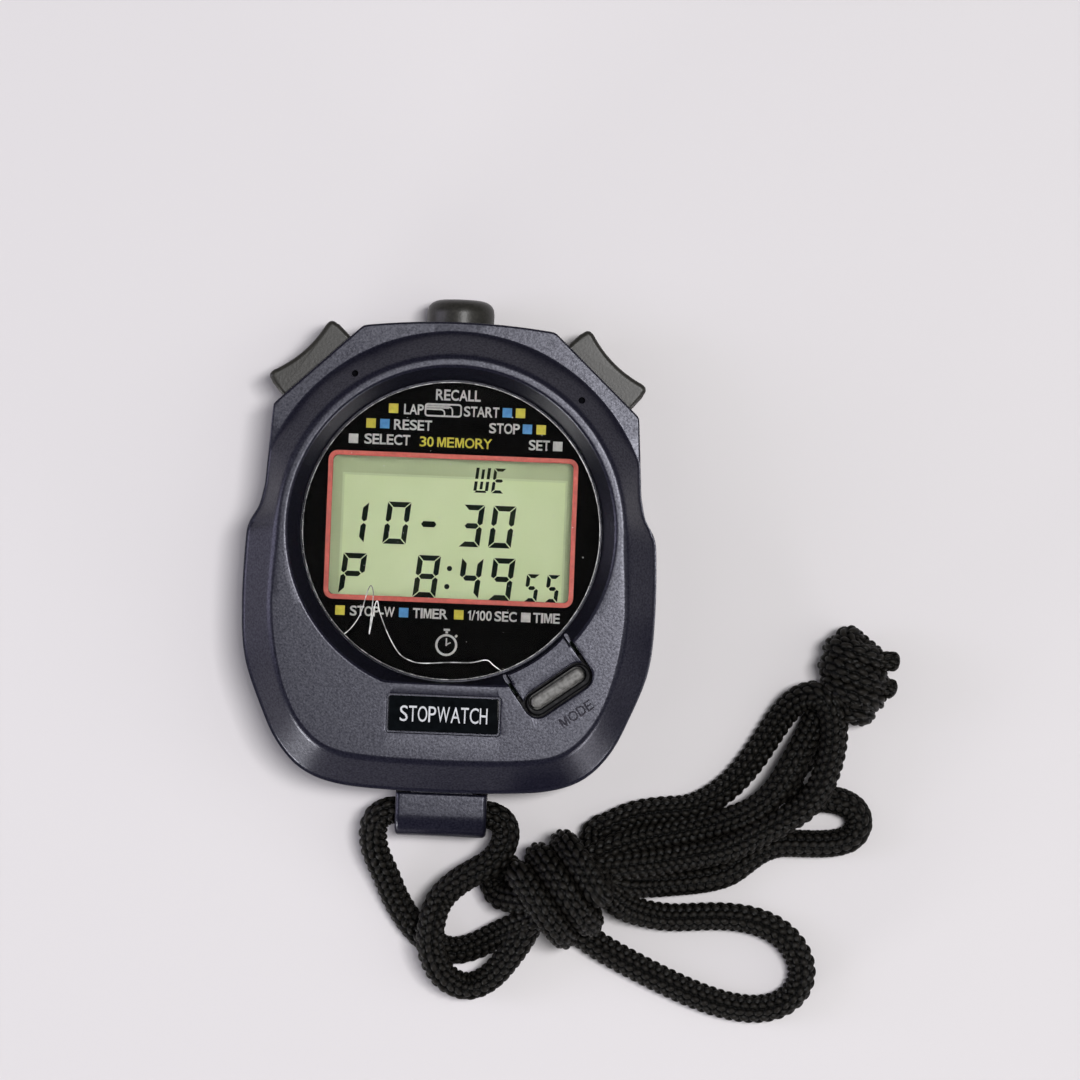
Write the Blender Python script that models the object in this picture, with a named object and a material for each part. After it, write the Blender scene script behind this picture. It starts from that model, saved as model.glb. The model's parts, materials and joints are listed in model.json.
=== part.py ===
"""A hand-held digital stopwatch with a bundled neck cord, built from its separate pieces.

The watch lies on its back: +Z is out of the display, +Y is towards the round top button and +X is
to the right of the display. The origin is at the middle of the watch on the surface that it lies on.
Every size below is in millimetres, and MM turns it into Blender's metres. "Dial" positions are
measured from the middle of the round dial.
"""

import math

import bmesh
import bpy
import numpy as np
from mathutils import Vector

MM = 0.001
GAP = 0.3  # clearance between touching pieces

# The watch case, seen from above
DIAL_Y = 5.95
TOP_Y = 33.4
TOP_CORNER = (15.35, 32.35)
SIDE_CORNER = (29.25, 19.3)
SIDE_OUTLINE = [
    (30.1, 6.5),
    (30.9, 3.0),
    (32.35, 0.3),
    (32.85, -2.6),
    (33.05, -12.5),
    (32.3, -21.2),
    (29.4, -29.2),
    (26.5, -34.9),
    (22.4, -39.0),
    (16.6, -41.05),
    (8.0, -41.7),
    (0.0, -41.85),
]
BOTTOM_Y = SIDE_OUTLINE[-1][1]
CREASE_RADIUS = 27.8
CREASE_OUTLINE = [
    (27.85, -2.0),
    (28.3, -9.0),
    (28.3, -14.5),
    (27.1, -22.0),
    (25.0, -28.3),
    (21.8, -33.0),
    (17.5, -35.7),
    (10.0, -36.65),
    (0.0, -36.9),
]

# The watch case, heights
PARTING_Z = 7.4
RIM_Z = 14.6
FACE_Z = 19.6
WALL = 1.8
BACK_THICKNESS = 1.6
BACK_BEVEL_WIDTH = 2.2
BACK_BEVEL_HEIGHT = 2.6
SHOULDER_RADIUS = 31.7
SHOULDER_LIP = 0.4
CEILING_LOW_Z = 14.3
CEILING_HIGH_Z = 17.3
CASE_SEGMENTS = 72

# The dial opening
RECESS_RADIUS = 26.2
RECESS_CHORD_Y = -24.3
RECESS_FOOT_RADIUS = 24.1
RECESS_FOOT_Z = 17.2
LEDGE_Z = 14.8
LEDGE_RADIUS = 22.7
LEDGE_UNDER_Z = 13.9
RING_WALL_RADIUS = 25.7
LENS_RADIUS = 23.8
LENS_Z = (15.8, 17.5)
MASK_RADIUS = 23.7
MASK_Z = (15.1, 15.5)
DISPLAY_Y = 0.35
WINDOW = (37.4, 21.4)

# The display module and the circuit board
LCD = (40.5, 24.5)
LCD_Z = (11.4, 13.6)
HOLDER = (43.4, 28.0)
HOLDER_Z = (8.9, 13.6)
HOLDER_SEAT_Z = 11.1
STRIP = (36.0, 1.8)
STRIP_Y = 11.2
STRIP_Z = (8.9, 11.1)
BOARD_RADIUS = 25.2
BOARD_Z = (7.4, 8.6)
BOARD_TAB = (13.0, 33.6)
BOARD_SCREWS = [(9.1, 22.4), (-9.1, 22.4), (-9.1, -22.4), (9.1, -22.4)]
BATTERY_CENTRE = (-9.5, -1.0)
BATTERY_RADIUS = 10.0
BATTERY_Z = (2.5, 5.7)
PIEZO_CENTRE = (12.0, -1.0)
PIEZO_RADIUS = 9.0

# The three side buttons: outward direction, distance of the case wall and offset along it
BUTTON_Z = PARTING_Z
SIDE_BUTTON_ANGLE = 46.8
SIDE_WALL_DISTANCE = 34.09
SIDE_BUTTON_OFFSET = 0.97
STEM_RADIUS = 1.4
STEM_END = 6.1
CLIP_GROOVE = (4.3, 5.4)
POCKET_DEPTH = 2.3
CAP_FOOT = 0.8
BOSS_DEPTH = (1.0, 4.0)
ROUND_CAP_RADIUS = 5.4
ROUND_CAP_TOP = -3.9
BAR_CAP = (14.4, 9.0)
BAR_CAP_TOP = -4.0

# The mode key in the front face, in its own frame: X along the key, Y towards the dial
KEY_ANGLE = -53.7
KEY_DISTANCE = 30.15
KEY_CAP = (9.7, 2.0)
KEY_HOLE = (12.2, 4.4)
KEY_HOLE_Y = -0.3
PAD_WIDTH = 10.7
PAD_INNER_RADIUS = 24.5
GROOVE_WIDTH = 1.05
GROOVE_Z = 18.3

# Fasteners and small parts
CASE_SCREWS = [(12.0, 28.4), (-12.0, 28.4), (-21.3, -30.2), (21.3, -30.2)]
SCREW_HEAD_RADIUS = 2.0
COUNTERBORE_RADIUS = 2.35
COUNTERBORE_Z = 2.4
SCREW_BOSS_RADIUS = 2.8
PILOT_RADIUS = 1.2
PLATE = (17.5, 5.6)
PLATE_Y = -29.2
PLATE_THICKNESS = 0.7
DIMPLES = [(123.7, 29.4), (47.3, 29.4)]

# The lanyard bail at the foot of the case
BAIL_HALF_WIDTH = 7.35
BAIL_Y = (-49.2, BOTTOM_Y - GAP)
BAIL_Z = (3.0, 11.6)
TUNNEL_Y = (-47.95, -42.75)
TUNNEL_Z = (4.7, 9.9)
BAIL_NECK = (10.0, 4.6)

# The lanyard: a braided cord, whose route points are (x, y, z) in the watch's frame
CORD_RADIUS = 2.25
RIGHT_LEAD = [
    (0.2, -39.4, 7.3),
    (4.0, -39.4, 7.3),
    (7.9, -39.5, 7.3),
    (10.2, -40.9, 7.2),
    (10.5, -43.6, 7.4),
    (8.8, -46.7, 7.9),
    (6.0, -48.6, 8.0),
    (3.0, -50.6, 7.6),
    (0.4, -53.4, 7.2),
    (-0.8, -57.2, 7.7),
    (-0.8, -61.6, 7.4),
    (1.4, -65.8, 5.6),
    (5.2, -67.6, 3.8),
    (8.8, -66.4, 3.8),
    (11.6, -63.6, 5.2),
    (13.6, -60.6, 6.6),
]
LEFT_LEAD = [
    (-0.2, -39.4, 7.3),
    (-4.0, -39.4, 7.3),
    (-8.4, -39.4, 7.3),
    (-10.7, -41.4, 6.8),
    (-10.6, -45.6, 5.3),
    (-8.6, -50.0, 3.6),
    (-6.8, -54.0, 2.5),
    (-4.2, -57.8, 2.3),
    (-1.2, -60.6, 2.3),
    (2.4, -62.0, 2.3),
    (5.8, -60.9, 2.3),
    (9.0, -58.2, 2.3),
]
LOWER_LOOP = [
    (29.6, -57.1, 2.6),
    (34.2, -56.2, 2.3),
    (40.0, -55.1, 2.3),
    (46.6, -54.8, 2.3),
    (52.8, -55.6, 2.3),
    (57.6, -58.2, 2.3),
    (59.9, -62.2, 2.3),
    (59.0, -66.4, 2.3),
    (55.4, -69.2, 2.3),
    (50.2, -70.0, 2.3),
    (44.6, -69.4, 2.3),
    (37.8, -67.0, 2.3),
    (31.0, -63.4, 2.6),
    (26.4, -60.9, 3.2),
]
SMALL_LOOP = [
    (61.6, -35.5, 2.3),
    (64.2, -35.2, 2.3),
    (67.4, -36.8, 2.3),
    (68.8, -39.8, 2.3),
    (66.8, -42.3, 2.3),
    (62.2, -42.9, 2.3),
    (59.4, -42.8, 2.3),
]
WRAP_CENTRE = (20.3, -50.9, 8.05)
WRAP_ANGLE = 30.0
WRAP_LENGTH = 13.5
WRAP_RADII = (8.9, 8.0)
BUNDLE_OUTLINE = [
    (30.0, -35.2),
    (35.4, -33.9),
    (39.8, -33.9),
    (43.0, -32.2),
    (46.0, -28.6),
    (48.6, -24.0),
    (52.0, -18.6),
    (55.8, -15.2),
    (58.6, -15.6),
    (60.2, -22.4),
    (63.2, -26.5),
    (61.6, -31.4),
    (57.6, -37.2),
    (55.6, -41.4),
    (50.9, -44.0),
    (49.8, -48.0),
    (45.6, -50.6),
    (39.4, -51.9),
    (32.6, -52.6),
]
BUNDLE_Z = (0.1, 9.1)
KNOT_CENTRE = (66.4, -15.4, 5.6)
KNOT_RADII = (5.5, 7.6, 5.5)
TIPS = [((72.3, -12.0, 5.6), 6.0), ((72.2, -17.0, 4.8), -22.0)]
TIP_RADIUS = 1.9
TIP_LENGTH = 2.6


# ---------------------------------------------------------------------------
# Finishes
# ---------------------------------------------------------------------------


def finish(name, colour, roughness, metallic=0.0):
    material = bpy.data.materials.get(name) or bpy.data.materials.new(name)
    material.use_nodes = True
    shader = material.node_tree.nodes["Principled BSDF"]
    shader.inputs["Base Color"].default_value = (*colour, 1.0)
    shader.inputs["Roughness"].default_value = roughness
    shader.inputs["Metallic"].default_value = metallic
    return material


FINISHES = {
    "case": ((0.075, 0.075, 0.11), 0.4, 0.3),
    "back": ((0.02, 0.02, 0.024), 0.55),
    "lens": ((0.6, 0.62, 0.6), 0.05),
    "mask": ((0.01, 0.01, 0.01), 0.25),
    "lcd": ((0.42, 0.48, 0.3), 0.3),
    "white_plastic": ((0.75, 0.75, 0.72), 0.5),
    "rubber_strip": ((0.06, 0.06, 0.07), 0.7),
    "board": ((0.05, 0.22, 0.1), 0.45),
    "epoxy": ((0.012, 0.012, 0.014), 0.3),
    "steel": ((0.6, 0.6, 0.6), 0.3, 1.0),
    "brass": ((0.75, 0.58, 0.3), 0.35, 1.0),
    "button": ((0.03, 0.03, 0.028), 0.45),
    "key": ((0.2, 0.2, 0.19), 0.4),
    "plate": ((0.008, 0.008, 0.01), 0.2),
    "cord": ((0.012, 0.011, 0.01), 0.8),
}


# ---------------------------------------------------------------------------
# Shape helpers
# ---------------------------------------------------------------------------


def clear_scene():
    for item in list(bpy.data.objects):
        bpy.data.objects.remove(item, do_unlink=True)


def solid(name, points, faces, kind, smooth_angle=None):
    """An object from points in millimetres, with its faces turned outwards."""
    mesh = bpy.data.meshes.new(name)
    mesh.from_pydata([Vector(p) * MM for p in points], [], faces)
    work = bmesh.new()
    work.from_mesh(mesh)
    bmesh.ops.recalc_face_normals(work, faces=work.faces)
    work.to_mesh(mesh)
    work.free()
    if smooth_angle is not None:
        mesh.shade_smooth()
        mesh.set_sharp_from_angle(angle=math.radians(smooth_angle))
    mesh.materials.append(finish(kind, *FINISHES[kind]))
    item = bpy.data.objects.new(name, mesh)
    bpy.context.scene.collection.objects.link(item)
    return item


def loft(name, rings, kind, closed=False, smooth_angle=30.0):
    """Joins rings of equally many points. The ends are capped, or the last ring meets the first."""
    count = len(rings[0])
    points = [p for ring in rings for p in ring]
    pairs = list(zip(range(len(rings)), range(1, len(rings))))
    if closed:
        pairs.append((len(rings) - 1, 0))
    faces = []
    for low, high in pairs:
        for i in range(count):
            j = (i + 1) % count
            faces.append((low * count + i, low * count + j, high * count + j, high * count + i))
    if not closed:
        faces.append(tuple(reversed(range(count))))
        faces.append(tuple(range((len(rings) - 1) * count, len(rings) * count)))
    return solid(name, points, faces, kind, smooth_angle)


def prism(name, outline, low, high, kind, smooth_angle=30.0):
    """A flat outline raised from z = low to z = high."""
    rings = [[(x, y, z) for x, y in outline] for z in (low, high)]
    return loft(name, rings, kind, smooth_angle=smooth_angle)


def rounded_box(width, depth, radius, centre=(0.0, 0.0), steps=3):
    """The outline of a rectangle with round corners."""
    outline = []
    for quarter, (sx, sy) in enumerate([(1, 1), (-1, 1), (-1, -1), (1, -1)]):
        for step in range(steps + 1):
            angle = math.radians(90.0 * (quarter + step / steps))
            x = sx * (width / 2 - radius) + radius * math.cos(angle)
            y = sy * (depth / 2 - radius) + radius * math.sin(angle)
            outline.append((centre[0] + x, centre[1] + y))
    return outline


def rectangle(width, depth, centre=(0.0, 0.0)):
    x, y = width / 2, depth / 2
    corners = [(-x, -y), (x, -y), (x, y), (-x, y)]
    return [(centre[0] + a, centre[1] + b) for a, b in corners]


def circle(radius, centre=(0.0, 0.0), segments=24):
    turns = [2 * math.pi * i / segments for i in range(segments)]
    return [(centre[0] + radius * math.cos(a), centre[1] + radius * math.sin(a)) for a in turns]


def turned(name, profile, kind, segments=24, along_y=False):
    """Turns a profile of (radius, height) points, whose ends are on the axis, round Z or Y."""
    points = [(0.0, 0.0, profile[0][1])]
    for radius, height in profile[1:-1]:
        points += [(x, y, height) for x, y in circle(radius, segments=segments)]
    points.append((0.0, 0.0, profile[-1][1]))
    last = len(points) - 1
    faces = []
    for i in range(segments):
        j = (i + 1) % segments
        faces.append((0, 1 + j, 1 + i))
        for level in range(len(profile) - 3):
            a, b = 1 + level * segments, 1 + (level + 1) * segments
            faces.append((a + i, a + j, b + j, b + i))
        foot = 1 + (len(profile) - 3) * segments
        faces.append((last, foot + i, foot + j))
    if along_y:
        points = [(x, z, -y) for x, y, z in points]
    return solid(name, points, faces, kind, smooth_angle=35.0)


def annulus(name, inner, outer, low, high, kind, opening=0.0, segments=20):
    """A flat ring in the XZ plane from y = low to y = high, with an opening of some degrees."""
    first = math.radians(90.0 + opening / 2)
    last = math.radians(450.0 - opening / 2)
    rings = []
    for i in range(segments):
        angle = first + (last - first) * i / (segments - 1)
        x, z = math.cos(angle), math.sin(angle)
        corners = [(inner, low), (outer, low), (outer, high), (inner, high)]
        rings.append([(r * x, y, r * z) for r, y in corners])
    return loft(name, rings, kind)


def change(target, tool, operation):
    """Adds or removes a hidden tool's shape. A target's tools of one kind act together."""
    tool.hide_render = True
    tool.display_type = "WIRE"
    word = f"{target.name} {operation.lower()}"
    if word not in target.modifiers:
        modifier = target.modifiers.new(word, "BOOLEAN")
        modifier.operation = operation
        modifier.operand_type = "COLLECTION"
        modifier.collection = bpy.data.collections.new(word)
    target.modifiers[word].collection.objects.link(tool)


def cut(target, tool):
    change(target, tool, "DIFFERENCE")


def join(target, tool):
    change(target, tool, "UNION")


def place(item, position, angle=0.0):
    """Puts an object at a dial position and height, turned round Z by some degrees."""
    item.location = Vector((position[0], position[1] + DIAL_Y, position[2])) * MM
    item.rotation_euler = (0.0, 0.0, math.radians(angle))
    return item


def on_dial(item):
    return place(item, (0.0, 0.0, 0.0))


def smooth_curve(points, steps):
    """Points along a Catmull-Rom curve through the given ones."""
    given = [np.array(p, float) for p in points]
    given = [2 * given[0] - given[1], *given, 2 * given[-1] - given[-2]]
    curve = []
    for before, start, end, after in zip(given, given[1:], given[2:], given[3:]):
        for step in range(steps):
            t = step / steps
            middle = (end - before) / 2
            bend = before - 2.5 * start + 2 * end - after / 2
            twist = (after - before) / 2 + 1.5 * (start - end)
            curve.append(start + middle * t + bend * t**2 + twist * t**3)
    curve.append(given[-2])
    return [tuple(p) for p in curve]


def tube(name, route, radius, kind, resolution=2):
    """A round tube with filled ends along straight runs between the points."""
    curve = bpy.data.curves.new(name, "CURVE")
    curve.dimensions = "3D"
    curve.bevel_depth = radius * MM
    curve.bevel_resolution = resolution
    curve.use_fill_caps = True
    spline = curve.splines.new("POLY")
    spline.points.add(len(route) - 1)
    for point, place_mm in zip(spline.points, route):
        point.co = (*(Vector(place_mm) * MM), 1.0)
    curve.materials.append(finish(kind, *FINISHES[kind]))
    item = bpy.data.objects.new(name, curve)
    bpy.context.scene.collection.objects.link(item)
    return item


def coil(name, radius, wire, low, high, turns, kind, along_y=False):
    """A coil spring from low to high along Z or Y, with its wire inside those two ends."""
    per_turn = 10
    count = int(turns * per_turn)
    route = []
    for i in range(count + 1):
        angle = 2 * math.pi * i / per_turn
        height = low + wire + (high - low - 2 * wire) * i / count
        x, y = radius * math.cos(angle), radius * math.sin(angle)
        route.append((x, height, y) if along_y else (x, y, height))
    return tube(name, route, wire, kind, resolution=1)


# ---------------------------------------------------------------------------
# The case outline
# ---------------------------------------------------------------------------


def right_half(first_points, rest):
    """A half outline, top to bottom, as sorted angles and radii about the dial's middle."""
    half = first_points + smooth_curve(rest, steps=8)
    angles = [math.atan2(y, x) for x, y in half]
    radii = [math.hypot(x, y) for x, y in half]
    return np.array(angles[::-1]), np.array(radii[::-1])


def top_edge(steps=6):
    """The slightly bowed top edge, from its middle to its corner."""
    width, bow = TOP_CORNER[0], TOP_Y - TOP_CORNER[1]
    return [(width * i / steps, TOP_Y - bow * (i / steps) ** 2) for i in range(steps + 1)]


def straight(start, end, steps=12):
    """Points on a straight edge, after its start, close enough to stay straight about the dial."""
    return [
        tuple(start[k] + (end[k] - start[k]) * i / steps for k in (0, 1))
        for i in range(1, steps + 1)
    ]


def crease_arc(steps=12):
    """The round upper part of the crease, from its top down to the dial's level."""
    turns = [math.radians(90.0 * (1 - i / steps)) for i in range(steps + 1)]
    return [(CREASE_RADIUS * math.cos(a), CREASE_RADIUS * math.sin(a)) for a in turns]


OUTLINE_HALF = right_half(
    top_edge() + straight(TOP_CORNER, SIDE_CORNER) + straight(SIDE_CORNER, SIDE_OUTLINE[0])[:-1],
    SIDE_OUTLINE,
)
CREASE_HALF = right_half(crease_arc(), CREASE_OUTLINE)


def mirrored_angle(angle):
    """The angle from the +X side that stands for this one on a symmetrical outline."""
    return math.asin(max(-1.0, min(1.0, math.sin(angle))))


def outline_radius(angle):
    return float(np.interp(mirrored_angle(angle), *OUTLINE_HALF))


def crease_radius(angle):
    return float(np.interp(mirrored_angle(angle), *CREASE_HALF))


def shoulder_radius(angle):
    """The foot of the slope round the face: a circle above the dial's middle, the outline below."""
    edge = outline_radius(angle) - SHOULDER_LIP
    return min(SHOULDER_RADIUS, edge) if math.sin(angle) > 0 else edge


def recess_radius(angle):
    """The dial recess: round, with a straight edge across its foot."""
    down = -math.sin(angle)
    chord = -RECESS_CHORD_Y / down if down > 0.5 else RECESS_RADIUS
    return min(RECESS_RADIUS, chord)


def ceiling_z(angle):
    """The inner height of the front shell, which rises where the face is broad."""
    rise = (crease_radius(angle) - 28.0) / 2.0
    rise = max(0.0, min(1.0, rise))
    return CEILING_LOW_Z + (CEILING_HIGH_Z - CEILING_LOW_Z) * rise * rise * (3 - 2 * rise)


def case_angles():
    """Even angles round the dial, the nearest of them moved onto each corner of the outline."""
    angles = [2 * math.pi * i / CASE_SEGMENTS for i in range(CASE_SEGMENTS)]
    for x, y in (TOP_CORNER, SIDE_CORNER):
        for corner in (math.atan2(y, x), math.atan2(y, -x)):
            nearest = min(range(CASE_SEGMENTS), key=lambda i: abs(angles[i] - corner))
            angles[nearest] = corner
    return angles


ANGLES = case_angles()


def ring(radius, height):
    """One ring of the case. Each of radius and height is a number or a function of the angle."""
    points = []
    for angle in ANGLES:
        r = radius(angle) if callable(radius) else radius
        z = height(angle) if callable(height) else height
        points.append((r * math.cos(angle), r * math.sin(angle), z))
    return points


def inset(radius, distance):
    return lambda angle: radius(angle) - distance


def inner_crease_radius(angle):
    return max(crease_radius(angle) - 1.0, RING_WALL_RADIUS + 0.6)


# ---------------------------------------------------------------------------
# Button positions
# ---------------------------------------------------------------------------


BUTTONS = {
    "start_button": (SIDE_BUTTON_ANGLE, SIDE_WALL_DISTANCE, SIDE_BUTTON_OFFSET),
    "recall_button": (90.0, TOP_Y, 0.0),
    "lap_button": (180.0 - SIDE_BUTTON_ANGLE, SIDE_WALL_DISTANCE, -SIDE_BUTTON_OFFSET),
}


def at_button(item, name, height=BUTTON_Z):
    """Puts an object in a button's frame: X along the wall, Y into the case, origin on the wall."""
    angle, distance, offset = BUTTONS[name]
    out = math.radians(angle)
    x = distance * math.cos(out) - offset * math.sin(out)
    y = distance * math.sin(out) + offset * math.cos(out)
    return place(item, (x, y, height), angle + 90.0)


def at_key(item, height=0.0):
    """Puts an object in the mode key's frame: X along the key, Y towards the dial."""
    out = math.radians(KEY_ANGLE)
    x, y = KEY_DISTANCE * math.cos(out), KEY_DISTANCE * math.sin(out)
    return place(item, (x, y, height), KEY_ANGLE + 90.0)


# ---------------------------------------------------------------------------
# Case pieces
# ---------------------------------------------------------------------------


def add_button_seats(shell, low, high):
    """Thickens a shell behind each button, then cuts the pocket and the stem's hole."""
    for name in BUTTONS:
        is_round = name == "recall_button"
        half = 6.9 if is_round else 8.9
        depth = BOSS_DEPTH[1] - BOSS_DEPTH[0]
        block = rectangle(2 * half, depth, (0.0, BOSS_DEPTH[0] + depth / 2))
        seat = prism(f"{shell.name}_{name}_seat", block, low, high, "case")
        join(shell, at_button(seat, name, 0.0))
    for name in BUTTONS:
        if name == "recall_button":
            radius = ROUND_CAP_RADIUS + GAP
            profile = [(0, -6.0), (radius, -6.0), (radius, POCKET_DEPTH), (0, POCKET_DEPTH)]
            pocket = turned(f"{shell.name}_{name}_pocket", profile, "case", along_y=True)
            cut(shell, at_button(pocket, name))
        else:
            block = rectangle(BAR_CAP[0] + 2 * GAP, 6.0 + POCKET_DEPTH, (0.0, POCKET_DEPTH / 2 - 3.0))
            half = BAR_CAP[1] / 2 + GAP
            pocket = prism(f"{shell.name}_{name}_pocket", block, -half, half, "case")
            cut(shell, at_button(pocket, name))
        radius = STEM_RADIUS + 0.35
        profile = [(0, 1.0), (radius, 1.0), (radius, 6.0), (0, 6.0)]
        hole = turned(f"{shell.name}_{name}_hole", profile, "case", segments=16, along_y=True)
        cut(shell, at_button(hole, name))


def cut_bail_slot(shell):
    width, height = BAIL_NECK[0] + 2 * GAP, BAIL_NECK[1] + 2 * GAP
    slot = rectangle(width, 5.0, (0.0, BOTTOM_Y + 1.0))
    tool = prism(f"{shell.name}_slot", slot, PARTING_Z - height / 2, PARTING_Z + height / 2, "case")
    cut(shell, on_dial(tool))


def add_post(shell, kind, number, centre, radius, low, high):
    post = prism(f"{shell.name}_{kind}_{number}", circle(radius, centre), low, high, "case")
    join(shell, on_dial(post))


def add_hole(shell, kind, number, centre, radius, low, high):
    hole = prism(f"{shell.name}_{kind}_{number}", circle(radius, centre, 16), low, high, "case")
    cut(shell, on_dial(hole))


def key_pad_outline():
    """The flat pad between the dial recess and the mode key, in the key's frame."""
    half = PAD_WIDTH / 2
    outline = [(-half, KEY_HOLE_Y + KEY_HOLE[1] / 2 - 0.5), (half, KEY_HOLE_Y + KEY_HOLE[1] / 2 - 0.5)]
    for i in range(6):
        x = half - PAD_WIDTH * i / 5
        outline.append((x, KEY_DISTANCE - math.sqrt(PAD_INNER_RADIUS**2 - x * x)))
    return outline


def make_front_case():
    low = PARTING_Z + GAP / 2
    rings = [
        ring(outline_radius, low),
        ring(outline_radius, RIM_Z),
        ring(shoulder_radius, RIM_Z),
        ring(crease_radius, FACE_Z),
        ring(recess_radius, FACE_Z),
        ring(RECESS_FOOT_RADIUS, RECESS_FOOT_Z),
        ring(RECESS_FOOT_RADIUS, LEDGE_Z),
        ring(LEDGE_RADIUS, LEDGE_Z),
        ring(LEDGE_RADIUS, LEDGE_UNDER_Z),
        ring(RING_WALL_RADIUS, LEDGE_UNDER_Z),
        ring(RING_WALL_RADIUS + 0.2, ceiling_z),
        ring(inner_crease_radius, ceiling_z),
        ring(inset(outline_radius, WALL), RIM_Z - WALL),
        ring(inset(outline_radius, WALL), low),
    ]
    case = on_dial(loft("front_case", rings, "case", closed=True))
    pad = prism("front_case_pad", key_pad_outline(), RECESS_FOOT_Z + 0.3, FACE_Z, "case")
    join(case, at_key(pad))
    for number, centre in enumerate(CASE_SCREWS):
        top = RIM_Z - 1.0 if centre[1] > 0 else CEILING_HIGH_Z + 0.6
        add_post(case, "boss", number, centre, SCREW_BOSS_RADIUS, PARTING_Z + 0.4, top)
    for number, centre in enumerate(BOARD_SCREWS):
        add_post(case, "post", number, centre, 1.8, BOARD_Z[1] + GAP, LEDGE_UNDER_Z + 0.4)
    add_button_seats(case, PARTING_Z + GAP, RIM_Z - 1.1)
    for side in (-1, 1):
        x = side * (PAD_WIDTH + GROOVE_WIDTH) / 2
        strip = rectangle(GROOVE_WIDTH, 7.0, (x, 3.0))
        groove = prism(f"front_case_groove_{side}", strip, GROOVE_Z, FACE_Z + 1.0, "case")
        cut(case, at_key(groove))
    hole = rounded_box(*KEY_HOLE, KEY_HOLE[1] / 2 - 0.01, (0.0, KEY_HOLE_Y), steps=5)
    cut(case, at_key(prism("front_case_key_hole", hole, 14.0, FACE_Z + 1.0, "case")))
    pocket = rectangle(PLATE[0] + 2 * GAP, PLATE[1] + 2 * GAP, (0.0, PLATE_Y))
    pocket_z = FACE_Z - PLATE_THICKNESS - GAP
    cut(case, on_dial(prism("front_case_plate_pocket", pocket, pocket_z, FACE_Z + 1.0, "case")))
    for number, centre in enumerate(CASE_SCREWS):
        add_hole(case, "pilot", number, centre, PILOT_RADIUS, PARTING_Z, RIM_Z - 2.0)
    for number, centre in enumerate(BOARD_SCREWS):
        add_hole(case, "board_pilot", number, centre, 1.1, BOARD_Z[1], LEDGE_UNDER_Z - 0.5)
    for number, (angle, radius) in enumerate(DIMPLES):
        turn = math.radians(angle)
        centre = (radius * math.cos(turn), radius * math.sin(turn))
        add_hole(case, "dimple", number, centre, 0.6, 16.9, FACE_Z)
    cut_bail_slot(case)
    return case


def make_rear_cover():
    high = PARTING_Z - GAP / 2
    rings = [
        ring(inset(outline_radius, BACK_BEVEL_WIDTH), 0.0),
        ring(inset(outline_radius, 0.2), BACK_BEVEL_HEIGHT),
        ring(outline_radius, high),
        ring(inset(outline_radius, WALL), high),
        ring(inset(outline_radius, WALL + 0.4), BACK_BEVEL_HEIGHT + 0.6),
        ring(inset(outline_radius, WALL + 2.0), BACK_THICKNESS),
    ]
    cover = on_dial(loft("rear_cover", rings, "back"))
    for number, centre in enumerate(CASE_SCREWS):
        add_post(cover, "boss", number, centre, SCREW_BOSS_RADIUS + 0.4, 0.8, PARTING_Z - 0.4)
    add_button_seats(cover, 0.9, PARTING_Z - GAP)
    for number, centre in enumerate(CASE_SCREWS):
        add_hole(cover, "counterbore", number, centre, COUNTERBORE_RADIUS, -1.0, COUNTERBORE_Z)
        add_hole(cover, "clearance", number, centre, PILOT_RADIUS + 0.1, 0.0, PARTING_Z + 1.0)
    cut_bail_slot(cover)
    return cover


def make_case_screws():
    for number, (x, y) in enumerate(CASE_SCREWS, start=1):
        head_low = COUNTERBORE_Z - GAP - 1.4
        profile = [
            (0, head_low),
            (SCREW_HEAD_RADIUS - 0.3, head_low),
            (SCREW_HEAD_RADIUS, head_low + 0.4),
            (SCREW_HEAD_RADIUS, head_low + 1.4),
            (0.9, head_low + 1.4),
            (0.9, 11.2),
            (0, 12.0),
        ]
        screw = turned(f"case_screw_{number}", profile, "steel", segments=16)
        slot_box = rectangle(0.6, 2.6)
        for turn in (0.0, 90.0):
            tool = prism(f"case_screw_{number}_slot_{turn:.0f}", slot_box, 0.0, head_low + 0.6, "steel")
            cut(screw, place(tool, (x, y, 0.0), turn))
        place(screw, (x, y, 0.0))


def make_board_screws():
    for number, (x, y) in enumerate(BOARD_SCREWS, start=1):
        head_low, head_high = BOARD_Z[0] - GAP - 1.2, BOARD_Z[0] - GAP
        profile = [
            (0, head_low),
            (1.3, head_low),
            (1.7, head_low + 0.4),
            (1.7, head_high),
            (0.8, head_high),
            (0.8, 12.2),
            (0, 12.8),
        ]
        place(turned(f"board_screw_{number}", profile, "steel", segments=12), (x, y, 0.0))


def make_name_plate():
    low = FACE_Z - PLATE_THICKNESS
    plate = rounded_box(*PLATE, 0.4, (0.0, PLATE_Y), steps=2)
    on_dial(prism("name_plate", plate, low, FACE_Z, "plate"))


# ---------------------------------------------------------------------------
# Display and electronics
# ---------------------------------------------------------------------------


def make_display():
    profile = [
        (0, LENS_Z[0]),
        (LENS_RADIUS, LENS_Z[0]),
        (LENS_RADIUS, LENS_Z[1] - 0.3),
        (LENS_RADIUS - 0.3, LENS_Z[1]),
        (0, LENS_Z[1]),
    ]
    on_dial(turned("lens", profile, "lens", segments=64))
    mask = on_dial(prism("dial_mask", circle(MASK_RADIUS, segments=64), *MASK_Z, "mask"))
    window = rounded_box(*WINDOW, 0.8, (0.0, DISPLAY_Y))
    cut(mask, on_dial(prism("dial_mask_window", window, MASK_Z[0] - 1, MASK_Z[1] + 1, "mask")))
    panel = rectangle(*LCD, (0.0, DISPLAY_Y))
    on_dial(prism("lcd_panel", panel, *LCD_Z, "lcd"))


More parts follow.
